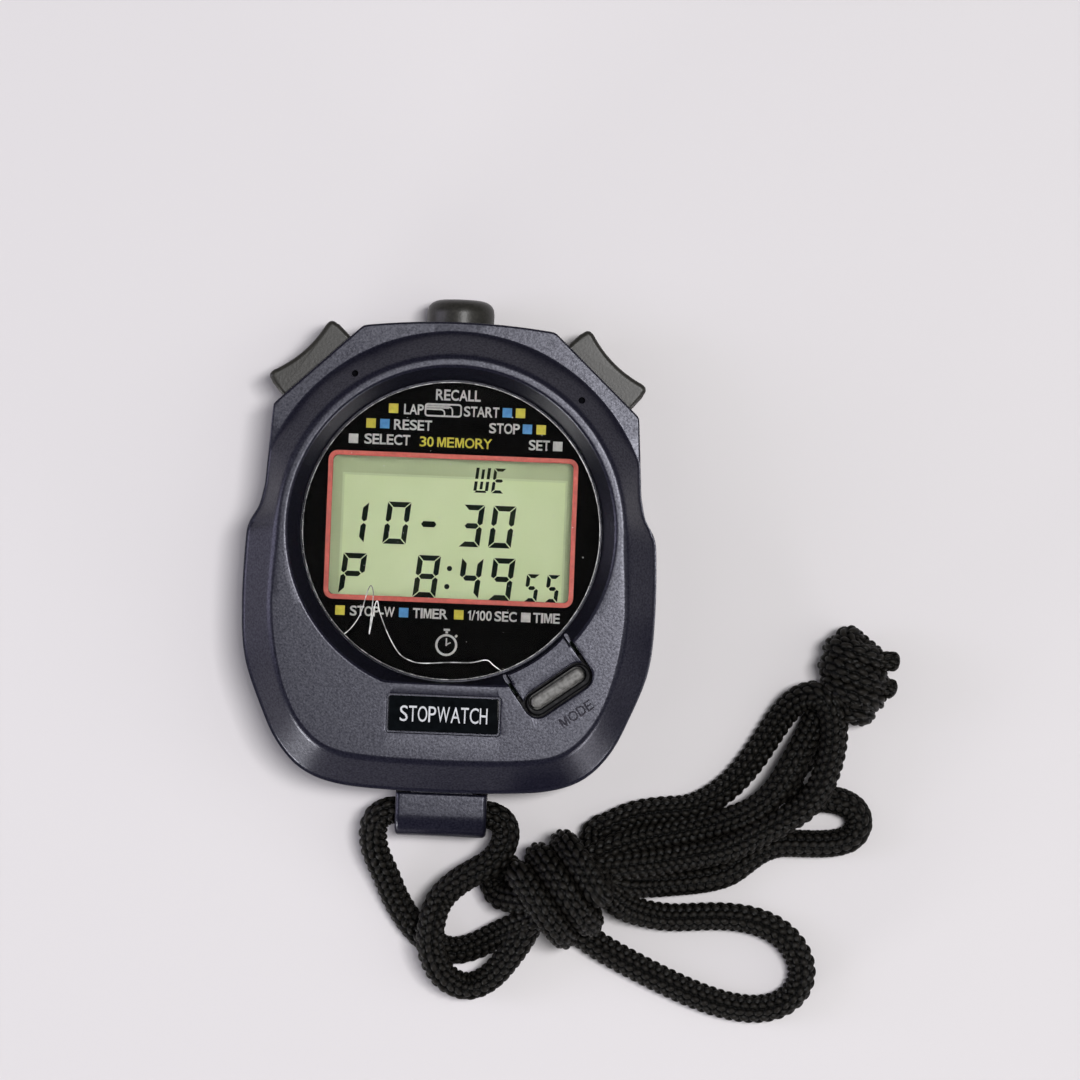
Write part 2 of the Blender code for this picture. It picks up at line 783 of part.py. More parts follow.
def make_lcd_holder():
    outline = rounded_box(*HOLDER, 3.0, (0.0, DISPLAY_Y), steps=4)
    holder = on_dial(prism("lcd_holder", outline, *HOLDER_Z, "white_plastic"))
    pocket = rectangle(LCD[0] + 2 * GAP, LCD[1] + 2 * GAP, (0.0, DISPLAY_Y))
    cut(holder, on_dial(prism("lcd_holder_pocket", pocket, HOLDER_SEAT_Z, 15.0, "white_plastic")))
    opening = rectangle(38.0, 17.0, (0.0, DISPLAY_Y))
    cut(holder, on_dial(prism("lcd_holder_opening", opening, 8.0, 12.0, "white_plastic")))
    for side, word in ((1, "upper"), (-1, "lower")):
        centre = (0.0, DISPLAY_Y + side * STRIP_Y)
        slot = rectangle(STRIP[0] + 2 * GAP, STRIP[1] + 2 * GAP, centre)
        cut(holder, on_dial(prism(f"lcd_holder_slot_{word}", slot, 8.0, 12.0, "white_plastic")))
        strip = rectangle(*STRIP, centre)
        on_dial(prism(f"zebra_strip_{word}", strip, *STRIP_Z, "rubber_strip"))


def make_circuit_board():
    board = on_dial(prism("circuit_board", circle(BOARD_RADIUS, segments=48), *BOARD_Z, "board"))
    width, reach = BOARD_TAB
    length = reach - 20.0
    tab = rectangle(width, length, (0.0, KEY_DISTANCE - reach + length / 2))
    join(board, at_key(prism("circuit_board_tab", tab, *BOARD_Z, "board")))
    for number, centre in enumerate(BOARD_SCREWS):
        add_hole(board, "hole", number, centre, 1.15, BOARD_Z[0] - 1, BOARD_Z[1] + 1)


def make_board_parts():
    under = BOARD_Z[0] - GAP
    dome = [(0, under), (4.5, under), (4.2, under - 0.7), (2.8, under - 1.3), (0, under - 1.5)]
    place(turned("controller_chip", dome[::-1], "epoxy"), (9.5, 12.5, 0.0))
    can = [(0, -3.0), (0.9, -3.0), (1.0, -2.8), (1.0, 3.0), (0, 3.0)]
    crystal = turned("quartz_crystal", can, "steel", segments=12, along_y=True)
    place(crystal, (-3.5, 15.5, under - 1.05), 90.0)


def make_battery():
    low, high = BATTERY_Z
    profile = [
        (0, low),
        (BATTERY_RADIUS - 0.3, low),
        (BATTERY_RADIUS, low + 0.3),
        (BATTERY_RADIUS, high - 0.6),
        (BATTERY_RADIUS - 1.2, high - 0.5),
        (BATTERY_RADIUS - 1.2, high),
        (0, high),
    ]
    place(turned("battery", profile, "steel", segments=32), (*BATTERY_CENTRE, 0.0))
    half, leg, width = BATTERY_RADIUS + 1.2, 0.3, 6.0
    strap_z = (low - GAP - leg, low - GAP)
    section = [
        (-half, BOARD_Z[0] - GAP),
        (-half, strap_z[0]),
        (half, strap_z[0]),
        (half, BOARD_Z[0] - GAP),
        (half - leg, BOARD_Z[0] - GAP),
        (half - leg, strap_z[1]),
        (leg - half, strap_z[1]),
        (leg - half, BOARD_Z[0] - GAP),
    ]
    rings = [[(x, y, z) for x, z in section] for y in (-width / 2, width / 2)]
    place(loft("battery_clip", rings, "steel"), (*BATTERY_CENTRE, 0.0))
    contact = rounded_box(8.0, 6.0, 1.0, steps=2)
    pad = prism("battery_contact", contact, high + GAP, high + GAP + 0.6, "brass")
    place(pad, (*BATTERY_CENTRE, 0.0))


def make_sounder():
    low = BACK_THICKNESS + GAP
    disc = [(0, low), (PIEZO_RADIUS, low), (PIEZO_RADIUS, low + 0.25), (6.0, low + 0.45), (0, low + 0.45)]
    place(turned("piezo_disc", disc, "brass", segments=32), (*PIEZO_CENTRE, 0.0))
    spring = coil("piezo_spring", 1.2, 0.2, low + 0.75, BOARD_Z[0] - GAP, 4, "steel")
    place(spring, (*PIEZO_CENTRE, 0.0))


# ---------------------------------------------------------------------------
# Buttons
# ---------------------------------------------------------------------------


def stem_profile(start):
    """The button's stem from its cap to its inner end, with the groove for its clip."""
    groove = STEM_RADIUS - 0.5
    return [
        (STEM_RADIUS, start),
        (STEM_RADIUS, CLIP_GROOVE[0]),
        (groove, CLIP_GROOVE[0]),
        (groove, CLIP_GROOVE[1]),
        (STEM_RADIUS, CLIP_GROOVE[1]),
        (STEM_RADIUS, STEM_END),
        (0, STEM_END),
    ]


def make_round_button(name):
    radius, top = ROUND_CAP_RADIUS, ROUND_CAP_TOP
    cap = [
        (0, top),
        (radius - 2.0, top + 0.15),
        (radius - 0.9, top + 0.55),
        (radius - 0.25, top + 1.2),
        (radius, top + 2.0),
        (radius, CAP_FOOT),
        (radius - 1.0, CAP_FOOT),
        (radius - 1.0, -2.2),
    ]
    button = turned(name, cap + stem_profile(-2.2), "button", segments=28, along_y=True)
    return at_button(button, name)


def bar_cap_outline():
    """A bar cap from above: straight in its pocket, tapered outside it, with a hollowed outer face."""
    half, top, hollow = BAR_CAP[0] / 2, BAR_CAP_TOP, 0.85
    outer = half - 0.75
    outline = [(-half, CAP_FOOT), (-half, -0.8), (-outer - 0.25, top + 1.2), (-outer + 0.1, top + 0.35)]
    for i in range(9):
        x = -(outer - 0.7) + 2 * (outer - 0.7) * i / 8
        share = x / (outer - 0.7)
        outline.append((x, top + hollow * (1 - share * share)))
    return outline + [(-x, y) for x, y in outline[3::-1]]


def make_bar_button(name):
    half = BAR_CAP[1] / 2
    outline = bar_cap_outline()
    inner = [(x * 0.97, y + (0.25 if y < -0.8 else 0.0)) for x, y in outline]
    rings = [
        [(x, y, -half) for x, y in inner],
        [(x, y, 0.5 - half) for x, y in outline],
        [(x, y, half - 0.5) for x, y in outline],
        [(x, y, half) for x, y in inner],
    ]
    button = at_button(loft(name, rings, "button"), name)
    hollow = rectangle(BAR_CAP[0] - 2.4, 4.0, (0.0, -0.9 + 2.0))
    cut(button, at_button(prism(f"{name}_hollow", hollow, 1.2 - half, half - 1.2, "button"), name))
    profile = [(0, -1.6), *stem_profile(-1.6)]
    join(button, at_button(turned(f"{name}_stem", profile, "button", 16, along_y=True), name))
    return button


def make_buttons():
    for name in BUTTONS:
        word = name.removesuffix("_button")
        if name == "recall_button":
            make_round_button(name)
            spring_start = -2.2 + GAP
        else:
            make_bar_button(name)
            spring_start = -0.9 + GAP
        spring = coil(f"{word}_spring", 2.5, 0.25, spring_start, POCKET_DEPTH - GAP, 3, "steel", True)
        at_button(spring, name)
        inner = STEM_RADIUS - 0.5 + GAP
        clip = annulus(f"{word}_clip", inner, 2.7, 4.6, 5.1, "steel", opening=70.0)
        at_button(clip, name)
        make_contact_leaf(name, f"{word}_contact")


def make_contact_leaf(button, name):
    """A strip under the board's edge that turns up in front of the button's stem."""
    distance = BUTTONS[button][1]
    thickness = 0.25
    face = STEM_END + 0.35
    foot_z = BOARD_Z[0] - GAP - thickness - BUTTON_Z
    foot_end = distance - 20.5
    section = [
        (face, -2.0),
        (face, 2.2),
        (face + thickness, 2.2),
        (face + thickness, foot_z + thickness),
        (foot_end, foot_z + thickness),
        (foot_end, foot_z),
        (face + thickness, foot_z),
        (face + thickness, -2.0),
    ]
    rings = [[(x, y, z) for y, z in section] for x in (-1.5, 1.5)]
    return at_button(loft(name, rings, "brass"), button)


# ---------------------------------------------------------------------------
# Mode key
# ---------------------------------------------------------------------------


def make_mode_key():
    outline = rounded_box(*KEY_CAP, KEY_CAP[1] / 2 - 0.01, steps=4)
    small = [(x * 0.97, y * 0.75) for x, y in outline]
    rings = [
        [(x, y, 14.6) for x, y in outline],
        [(x, y, FACE_Z - 0.4) for x, y in outline],
        [(x, y, FACE_Z) for x, y in small],
    ]
    key = at_key(loft("mode_key", rings, "key"))
    flange = rounded_box(11.4, 4.0, 1.6, steps=3)
    join(key, at_key(prism("mode_key_flange", flange, 14.2, 15.4, "key")))
    join(key, at_key(prism("mode_key_stem", circle(1.1, segments=12), 10.4, 14.8, "key")))
    body = rounded_box(KEY_HOLE[0] - 2 * GAP, KEY_HOLE[1] - 2 * GAP, 1.8, (0.0, KEY_HOLE_Y), steps=4)
    bezel = at_key(prism("mode_key_bezel", body, 16.4, 18.4, "button"))
    flange = rounded_box(14.4, 5.6, 1.6, (0.0, KEY_HOLE_Y), steps=3)
    join(bezel, at_key(prism("mode_key_bezel_flange", flange, 15.7, 17.0, "button")))
    slot = rounded_box(KEY_CAP[0] + 2 * GAP, KEY_CAP[1] + 2 * GAP, 1.25, steps=4)
    cut(bezel, at_key(prism("mode_key_bezel_slot", slot, 15.0, 19.0, "button")))
    at_key(coil("mode_spring", 2.1, 0.2, BOARD_Z[1] + GAP, 14.2 - GAP, 4, "steel"))
    dome = [(0, 8.9), (1.5, 8.9), (1.3, 9.2), (0.7, 9.4), (0, 9.5)]
    at_key(turned("mode_contact", dome, "steel", segments=16))


# ---------------------------------------------------------------------------
# Bail and lanyard
# ---------------------------------------------------------------------------


def make_bail():
    """A short tunnel for the cord, with a T-shaped root held between the two shells."""
    (foot, head), (low, high) = BAIL_Y, BAIL_Z
    section = [(head, low), (head, high), (foot + 3.6, high)]
    for i in range(1, 5):
        turn = math.radians(22.5 * i)
        section.append((foot + 3.6 - 3.6 * math.sin(turn), high - 3.6 + 3.6 * math.cos(turn)))
    section += [(foot, low + 1.6), (foot + 1.6, low)]
    half = BAIL_HALF_WIDTH
    narrow = 0.5
    rings = []
    for x in (-half, narrow - half, half - narrow, half):
        shift = narrow if abs(x) == half else 0.0
        middle_z = (low + high) / 2
        rings.append(
            [
                (x, max(y, foot + shift), z + shift * (1 if z < middle_z else -1) * (y < head - 1e-9))
                for y, z in section
            ]
        )
    bail = on_dial(loft("lanyard_bail", rings, "case"))
    tunnel_y, tunnel_z = sum(TUNNEL_Y) / 2, sum(TUNNEL_Z) / 2
    opening = rounded_box(TUNNEL_Y[1] - TUNNEL_Y[0], TUNNEL_Z[1] - TUNNEL_Z[0], 1.2, steps=3)
    rings = [[(x, tunnel_y + y, tunnel_z + z) for y, z in opening] for x in (-10.0, 10.0)]
    cut(bail, on_dial(loft("lanyard_bail_tunnel", rings, "case")))
    neck_low, neck_high = PARTING_Z - BAIL_NECK[1] / 2, PARTING_Z + BAIL_NECK[1] / 2
    neck = rectangle(BAIL_NECK[0], 4.4, (0.0, head - 0.2 + 2.2))
    join(bail, on_dial(prism("lanyard_bail_neck", neck, neck_low, neck_high, "case")))
    root = rectangle(15.0, 1.3, (0.0, BOTTOM_Y + WALL + GAP + 1.2))
    join(bail, on_dial(prism("lanyard_bail_root", root, neck_low - 1.0, neck_high + 1.0, "case")))


def make_wrap():
    """The turns of cord round the bundle, as one solid with an oval section."""
    along = math.radians(WRAP_ANGLE)
    axis = Vector((math.cos(along), math.sin(along), 0.0))
    across = Vector((-axis.y, axis.x, 0.0))
    rings = []
    for share, size in ((-0.5, 0.6), (-0.3, 1.0), (0.38, 1.0), (0.5, 0.8)):
        middle = Vector(WRAP_CENTRE) + axis * WRAP_LENGTH * share
        section = []
        for a, b in circle(1.0, segments=24):
            side = across * a * WRAP_RADII[0] * size
            section.append(tuple(middle + side + Vector((0.0, 0.0, b * WRAP_RADII[1] * size))))
        rings.append(section)
    loft("cord_wrap", rings, "cord")


def make_bundle():
    """The folded strands between the wrap and the end knot, as one solid of their outer shape."""
    low, high = BUNDLE_Z
    middle_x = sum(x for x, _ in BUNDLE_OUTLINE) / len(BUNDLE_OUTLINE)
    middle_y = sum(y for _, y in BUNDLE_OUTLINE) / len(BUNDLE_OUTLINE)
    small = [(x + (middle_x - x) * 0.05, y + (middle_y - y) * 0.05) for x, y in BUNDLE_OUTLINE]
    rings = [
        [(x, y, low) for x, y in small],
        [(x, y, low + 1.2) for x, y in BUNDLE_OUTLINE],
        [(x, y, high - 1.2) for x, y in BUNDLE_OUTLINE],
        [(x, y, high) for x, y in small],
    ]
    loft("cord_bundle", rings, "cord")


def make_end_knot():
    rings = []
    for level in range(1, 8):
        lift = -math.cos(math.pi * level / 8)
        size = math.sqrt(1 - lift * lift)
        section = circle(1.0, segments=20)
        x0, y0, z0 = KNOT_CENTRE
        a, b, c = KNOT_RADII
        rings.append([(x0 + a * size * x, y0 + b * size * y, z0 + c * lift) for x, y in section])
    loft("cord_end_knot", rings, "cord")
    for word, (start, angle) in zip(("upper", "lower"), TIPS):
        turn = math.radians(angle)
        end = (start[0] + TIP_LENGTH * math.cos(turn), start[1] + TIP_LENGTH * math.sin(turn), start[2])
        tube(f"cord_tip_{word}", [start, end], TIP_RADIUS, "cord")


def make_lanyard():
    routes = {
        "cord_right_lead": RIGHT_LEAD,
        "cord_left_lead": LEFT_LEAD,
        "cord_lower_loop": LOWER_LOOP,
        "cord_small_loop": SMALL_LOOP,
    }
    for name, route in routes.items():
        tube(name, route, CORD_RADIUS, "cord")
    make_wrap()
    make_bundle()
    make_end_knot()


def main():
    clear_scene()
    make_front_case()
    make_rear_cover()
    make_case_screws()
    make_board_screws()
    make_name_plate()
    make_display()
    make_lcd_holder()
    make_circuit_board()
    make_board_parts()
    make_battery()
    make_sounder()
    make_buttons()
    make_mode_key()
    make_bail()
    make_lanyard()


main()
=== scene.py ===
"""A hand-held digital stopwatch with a bundled neck cord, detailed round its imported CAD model.

Lengths in this file are in millimetres in the watch's own frame unless a name or comment says
otherwise. "Dial" positions are measured from the middle of the round dial.
"""

import json
import math
import random

import bmesh
import bpy
import numpy as np
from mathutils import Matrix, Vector
from mathutils.geometry import tessellate_polygon


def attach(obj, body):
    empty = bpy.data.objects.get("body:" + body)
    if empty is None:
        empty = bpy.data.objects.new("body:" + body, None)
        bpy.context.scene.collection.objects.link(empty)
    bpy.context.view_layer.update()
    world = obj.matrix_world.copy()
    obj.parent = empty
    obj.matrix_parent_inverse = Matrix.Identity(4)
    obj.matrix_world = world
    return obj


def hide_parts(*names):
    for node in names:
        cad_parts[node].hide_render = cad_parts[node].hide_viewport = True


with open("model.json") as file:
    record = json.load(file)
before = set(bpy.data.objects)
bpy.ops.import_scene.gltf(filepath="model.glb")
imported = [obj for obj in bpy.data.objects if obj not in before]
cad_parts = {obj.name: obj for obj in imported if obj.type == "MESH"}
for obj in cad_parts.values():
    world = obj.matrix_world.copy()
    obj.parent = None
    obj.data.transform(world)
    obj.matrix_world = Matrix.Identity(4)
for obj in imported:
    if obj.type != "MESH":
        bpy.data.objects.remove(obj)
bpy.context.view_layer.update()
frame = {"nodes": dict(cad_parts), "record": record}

MM = 0.001
DIAL_Y = 5.95
FACE_Z = 19.6


def added(name, data):
    """A new object in the scene."""
    item = bpy.data.objects.new(name, data)
    bpy.context.scene.collection.objects.link(item)
    return item


# ---------------------------------------------------------------------------
# Camera, floor and lights
# ---------------------------------------------------------------------------


CAMERA_MIDDLE = (14.17, 5.09)
CAMERA_RISE = 800.0
CAMERA_TURN = 2.3


def make_camera():
    """Looks straight down from 0.8 m above the face, turned a little about the vertical."""
    data = bpy.data.cameras.new("camera")
    data.sensor_width = 36.0
    data.lens = 168.0
    data.clip_end = 10.0
    item = added("camera", data)
    item.location = Vector((*CAMERA_MIDDLE, FACE_Z + CAMERA_RISE)) * MM
    item.rotation_euler = (0.0, 0.0, math.radians(CAMERA_TURN))
    bpy.context.scene.camera = item


def add_light(name, place_m, size_m, radiance, colour):
    """A rectangular lamp, in metres, that faces the middle of the floor."""
    data = bpy.data.lights.new(name, "AREA")
    data.shape = "RECTANGLE"
    data.size, data.size_y = size_m
    data.energy = 4.0 * size_m[0] * size_m[1] * radiance
    data.color = colour
    item = added(name, data)
    item.location = place_m
    item.rotation_euler = (Vector() - Vector(place_m)).to_track_quat("-Z", "Y").to_euler()


def make_stage():
    size = 3.0
    mesh = bpy.data.meshes.new("floor")
    corners = [(-size, -size, 0), (size, -size, 0), (size, size, 0), (-size, size, 0)]
    mesh.from_pydata(corners, [], [(0, 1, 2, 3)])
    floor = added("floor", mesh)
    floor.location.z = -0.0001
    paint = bpy.data.materials.new("floor_paint")
    paint.use_nodes = True
    shader = paint.node_tree.nodes["Principled BSDF"]
    shader.inputs["Base Color"].default_value = (0.62, 0.6, 0.61, 1.0)
    shader.inputs["Roughness"].default_value = 0.6
    shader.inputs["Specular IOR Level"].default_value = 0.3
    mesh.materials.append(paint)
    world = bpy.data.worlds.new("world")
    world.use_nodes = True
    sky = world.node_tree.nodes["Background"]
    sky.inputs["Color"].default_value = (0.95, 0.96, 1.0, 1.0)
    sky.inputs["Strength"].default_value = 0.12
    bpy.context.scene.world = world
    bpy.context.scene.view_settings.view_transform = "Standard"
    lights = {
        "key": ((0.31, 0.12, 1.5), (0.22, 0.5), 44.0, (1.0, 0.99, 0.99)),
        "right": ((0.95, 0.0, 1.1), (0.8, 1.6), 0.7, (1.0, 0.99, 0.97)),
        "left": ((-0.95, 0.2, 1.1), (0.8, 1.4), 0.45, (0.97, 0.97, 1.0)),
        "low_left": ((-0.9, 0.0, 0.2), (0.3, 0.9), 3.8, (0.84, 0.8, 1.0)),
        "corner_left": ((-0.5, -0.52, 0.07), (0.25, 0.12), 27.0, (1.0, 1.0, 1.0)),
        "corner_right": ((0.52, -0.5, 0.07), (0.25, 0.12), 16.0, (1.0, 0.98, 1.0)),
    }
    for name, (place_m, size_m, radiance, colour) in lights.items():
        add_light(name, place_m, size_m, radiance, colour)


# ---------------------------------------------------------------------------
# Materials
# ---------------------------------------------------------------------------


def material(name, colour, roughness, metallic=0.0, **others):
    paint = bpy.data.materials.new(name)
    paint.use_nodes = True
    shader = paint.node_tree.nodes["Principled BSDF"]
    shader.inputs["Base Color"].default_value = (*colour, 1.0)
    shader.inputs["Roughness"].default_value = roughness
    shader.inputs["Metallic"].default_value = metallic
    for socket, value in others.items():
        shader.inputs[socket.replace("_", " ")].default_value = value
    return paint


def noise(paint, scale, detail=2.0, coordinates="Object", stretch=None):
    """A noise texture whose scale is in lumps to the metre."""
    nodes, links = paint.node_tree.nodes, paint.node_tree.links
    source = nodes.new("ShaderNodeTexCoord")
    texture = nodes.new("ShaderNodeTexNoise")
    texture.inputs["Scale"].default_value = scale
    texture.inputs["Detail"].default_value = detail
    vector = source.outputs[coordinates]
    if stretch:
        mapping = nodes.new("ShaderNodeMapping")
        mapping.inputs["Scale"].default_value = stretch
        links.new(vector, mapping.inputs["Vector"])
        vector = mapping.outputs["Vector"]
    links.new(vector, texture.inputs["Vector"])
    return texture.outputs["Fac"]


def vary(paint, socket, factor, low, high, first=0.3, last=0.7):
    """Drives a shader input between two values or colours with a texture."""
    nodes, links = paint.node_tree.nodes, paint.node_tree.links
    ramp = nodes.new("ShaderNodeValToRGB")
    ramp.color_ramp.elements[0].position = first
    ramp.color_ramp.elements[1].position = last
    for element, value in zip(ramp.color_ramp.elements, (low, high)):
        element.color = (*value, 1.0) if hasattr(value, "__len__") else (value, value, value, 1.0)
    links.new(factor, ramp.inputs["Fac"])
    links.new(ramp.outputs["Color"], paint.node_tree.nodes["Principled BSDF"].inputs[socket])


def bump(paint, factor, strength, height_mm):
    nodes, links = paint.node_tree.nodes, paint.node_tree.links
    node = nodes.new("ShaderNodeBump")
    node.inputs["Strength"].default_value = strength
    node.inputs["Distance"].default_value = height_mm * MM
    links.new(factor, node.inputs["Height"])
    shader = nodes["Principled BSDF"]
    if shader.inputs["Normal"].is_linked:
        links.new(shader.inputs["Normal"].links[0].from_socket, node.inputs["Normal"])
    links.new(node.outputs["Normal"], shader.inputs["Normal"])


def cord_material():
    """Black fibre with painted shade between the plaits, and the threads of each plait in its bump."""
    paint = material("cord_fibre", (0.007, 0.0065, 0.006), 0.38, Specular_IOR_Level=0.085)
    nodes, links = paint.node_tree.nodes, paint.node_tree.links
    # Painted shade: the base colour follows the plait height, dark in the grooves between plaits, with a
    # little noise for tone.
    plait = nodes.new("ShaderNodeAttribute")
    plait.attribute_name = "plait"
    mottle = nodes.new("ShaderNodeMath")
    mottle.operation = "MULTIPLY_ADD"
    links.new(noise(paint, 900.0, 3.0), mottle.inputs[0])
    mottle.inputs[1].default_value = 0.5
    shift = nodes.new("ShaderNodeMath")
    shift.operation = "SUBTRACT"
    links.new(plait.outputs["Fac"], shift.inputs[0])
    shift.inputs[1].default_value = 0.25
    links.new(shift.outputs[0], mottle.inputs[2])
    low, high = (0.0004, 0.0004, 0.0003), (0.0112, 0.0100, 0.0084)
    vary(paint, "Base Color", mottle.outputs[0], low, high, 0.36, 1.0)
    fibres = noise(paint, 1.0, 3.0, "UV", (9.0, 2.0, 1.0))
    bump(paint, fibres, 0.5, 0.1)
    return paint


# ---------------------------------------------------------------------------
# Shape helpers
# ---------------------------------------------------------------------------


def finished(name, points, faces, paint, sharp=35.0):
    """An object from points in millimetres, with its faces turned outwards."""
    mesh = bpy.data.meshes.new(name)
    mesh.from_pydata([tuple(p) for p in (np.array(points, float) * MM).tolist()], [], faces)
    work = bmesh.new()
    work.from_mesh(mesh)
    bmesh.ops.recalc_face_normals(work, faces=work.faces)
    caps = [face for face in work.faces if len(face.verts) > 4]
    bmesh.ops.triangulate(work, faces=caps, ngon_method="EAR_CLIP")
    work.to_mesh(mesh)
    work.free()
    mesh.shade_smooth()
    mesh.set_sharp_from_angle(angle=math.radians(sharp))
    if paint:
        mesh.materials.append(paint)
    item = added(name, mesh)
    return item


def lofted(name, rings, paint=None, closed=False, sharp=35.0):
    """Joins rings of equally many points. The ends are capped, or the last ring meets the first."""
    rings = [np.array(ring, float) for ring in rings]
    count = len(rings[0])
    pairs = list(zip(range(len(rings)), range(1, len(rings))))
    if closed:
        pairs.append((len(rings) - 1, 0))
    faces = []
    for low, high in pairs:
        for i in range(count):
            j = (i + 1) % count
            faces.append((low * count + i, low * count + j, high * count + j, high * count + i))
    if not closed:
        faces.append(tuple(reversed(range(count))))
        faces.append(tuple(range((len(rings) - 1) * count, len(rings) * count)))
    return finished(name, np.concatenate(rings), faces, paint, sharp)


def stacked(levels):
    """Rings from pairs of a flat outline and its height."""
    return [[(x, y, z) for x, y in outline] for outline, z in levels]


def prism(name, outline, low, high):
    """A flat outline raised from low to high, to be joined or removed."""
    return lofted(name, stacked([(outline, low), (outline, high)]))


def band(name, outer, inner, low, high, paint):
    """A closed band with a flat section, between an outer and an inner outline."""
    rings = stacked([(outer, low), (outer, high), (inner, high), (inner, low)])
    return lofted(name, rings, paint, closed=True)


def polar(radius, degrees):
    turn = math.radians(degrees)
    return (radius * math.cos(turn), radius * math.sin(turn))


def quarter_round(radius, steps):
    """The inset and rise of a rounded edge at each step, from its flat end to the straight side."""
    turns = [math.radians(90.0 * i / steps) for i in range(steps + 1)]
    return [(radius * (1 - math.sin(turn)), radius * (1 - math.cos(turn))) for turn in turns]


def scaled(outline, grow):
    """An outline moved outwards by a distance, or inwards if it is negative."""
    points = np.array(outline, float)
    before, after = np.roll(points, 1, axis=0), np.roll(points, -1, axis=0)
    edge_in, edge_out = points - before, after - points
    area = np.sum(points[:, 0] * after[:, 1] - after[:, 0] * points[:, 1])
    side = 1.0 if area > 0 else -1.0
    normals = []
    for a, b in zip(edge_in, edge_out):
        n1 = np.array((a[1], -a[0])) / max(np.hypot(*a), 1e-9)
        n2 = np.array((b[1], -b[0])) / max(np.hypot(*b), 1e-9)
        n = n1 + n2
        n = n / max(np.hypot(*n), 1e-9)
        normals.append(n / max(0.5, n.dot(n1)))
    return points + side * grow * np.array(normals)


def slab(name, outline, low, high, paint=None, top=0.0, foot=0.0, steps=4, sharp=35.0):
    """A flat outline raised from low to high, with edges rounded by those radii at top and foot."""
    rings = [(inset, low + rise) for inset, rise in quarter_round(foot, steps)] if foot else [(0.0, low)]
    rings += [(rise, high - inset) for inset, rise in quarter_round(top, steps)] if top else [(0.0, high)]
    shapes = stacked([(scaled(outline, -inset), z) for inset, z in rings])
    return lofted(name, shapes, paint, sharp=sharp)


def rounded_box(width, depth, radius, centre=(0.0, 0.0), steps=8):
    outline = []
    for quarter, (sx, sy) in enumerate([(1, 1), (-1, 1), (-1, -1), (1, -1)]):
        for step in range(steps + 1):
            angle = math.radians(90.0 * (quarter + step / steps))
            x = sx * (width / 2 - radius) + radius * math.cos(angle)
            y = sy * (depth / 2 - radius) + radius * math.sin(angle)
            outline.append((centre[0] + x, centre[1] + y))
    return outline


def circle(radius, centre=(0.0, 0.0), segments=64):
    turns = [2 * math.pi * i / segments for i in range(segments)]
    return [(centre[0] + radius * math.cos(a), centre[1] + radius * math.sin(a)) for a in turns]


def turned(name, profile, paint=None, segments=96, along_y=False, sharp=35.0):
    """Turns a profile of (radius, height) points, whose ends are on the axis, round Z or Y."""
    points = [(0.0, 0.0, profile[0][1])]
    for radius, height in profile[1:-1]:
        points += [(x, y, height) for x, y in circle(radius, segments=segments)]
    points.append((0.0, 0.0, profile[-1][1]))
    last = len(points) - 1
    faces = []
    for i in range(segments):
        j = (i + 1) % segments
        faces.append((0, 1 + j, 1 + i))
        for level in range(len(profile) - 3):
            a, b = 1 + level * segments, 1 + (level + 1) * segments
            faces.append((a + i, a + j, b + j, b + i))
        foot = 1 + (len(profile) - 3) * segments
        faces.append((last, foot + i, foot + j))
    if along_y:
        points = [(x, z, -y) for x, y, z in points]
    return finished(name, points, faces, paint, sharp)


def moved(item, position, angle=0.0):
    """Puts a piece at a dial position and height, turned round Z by some degrees."""
    item.location = Vector((position[0], position[1] + DIAL_Y, position[2])) * MM
    item.rotation_euler = (0.0, 0.0, math.radians(angle))
    return item


def on_dial(item):
    return moved(item, (0.0, 0.0, 0.0))


def evened(item):
    """Keeps flat faces flat in the shading beside their rounded edges."""
    modifier = item.modifiers.new("normals", "WEIGHTED_NORMAL")
    modifier.mode = "FACE_AREA"
    modifier.weight = 50
    modifier.keep_sharp = True
    bpy.context.view_layer.update()
    mesh = bpy.data.meshes.new_from_object(item.evaluated_get(bpy.context.evaluated_depsgraph_get()))
    item.modifiers.clear()
    old = item.data
    item.data = mesh
    bpy.data.meshes.remove(old)
    mesh.name = item.name
    return item


def merged(target, others):
    """Adds the meshes of other objects, which touch or enter the target, to it."""
    work = bmesh.new()
    work.from_mesh(target.data)
    for other in others:
        work.from_mesh(other.data)
        bpy.data.objects.remove(other)
    work.to_mesh(target.data)
    work.free()
    target.data.set_sharp_from_angle(angle=math.radians(30.0))
    return target


def carved(target, joined=(), removed=()):
    """Joins and removes tool shapes, then deletes the tools."""
    bpy.context.view_layer.update()
    for operation, tools in (("UNION", joined), ("DIFFERENCE", removed)):
        if not tools:
            continue
        group = bpy.data.collections.new(f"{target.name}_{operation.lower()}")
        for tool in tools:
            group.objects.link(tool)
        modifier = target.modifiers.new(operation, "BOOLEAN")
        modifier.operation = operation
        modifier.operand_type = "COLLECTION"
        modifier.collection = group
    bpy.context.view_layer.update()
    graph = bpy.context.evaluated_depsgraph_get()
    mesh = bpy.data.meshes.new_from_object(target.evaluated_get(graph), depsgraph=graph)
    target.modifiers.clear()
    old = target.data
    target.data = mesh
    bpy.data.meshes.remove(old)
    mesh.name = target.name
    mesh.shade_smooth()
    mesh.set_sharp_from_angle(angle=math.radians(30.0))
    for tool in [*joined, *removed]:
        bpy.data.objects.remove(tool)
    return evened(target)


def arc_to(start, corner, end, steps=5):
    """Points from start to end, rounded towards the corner. Each may hold arrays."""
    points = []
    for i in range(steps + 1):
        t = i / steps
        points.append(
            tuple((1 - t) ** 2 * a + 2 * t * (1 - t) * b + t**2 * c for a, b, c in zip(start, corner, end))
        )
    return points


# ---------------------------------------------------------------------------
# The case outline
# ---------------------------------------------------------------------------

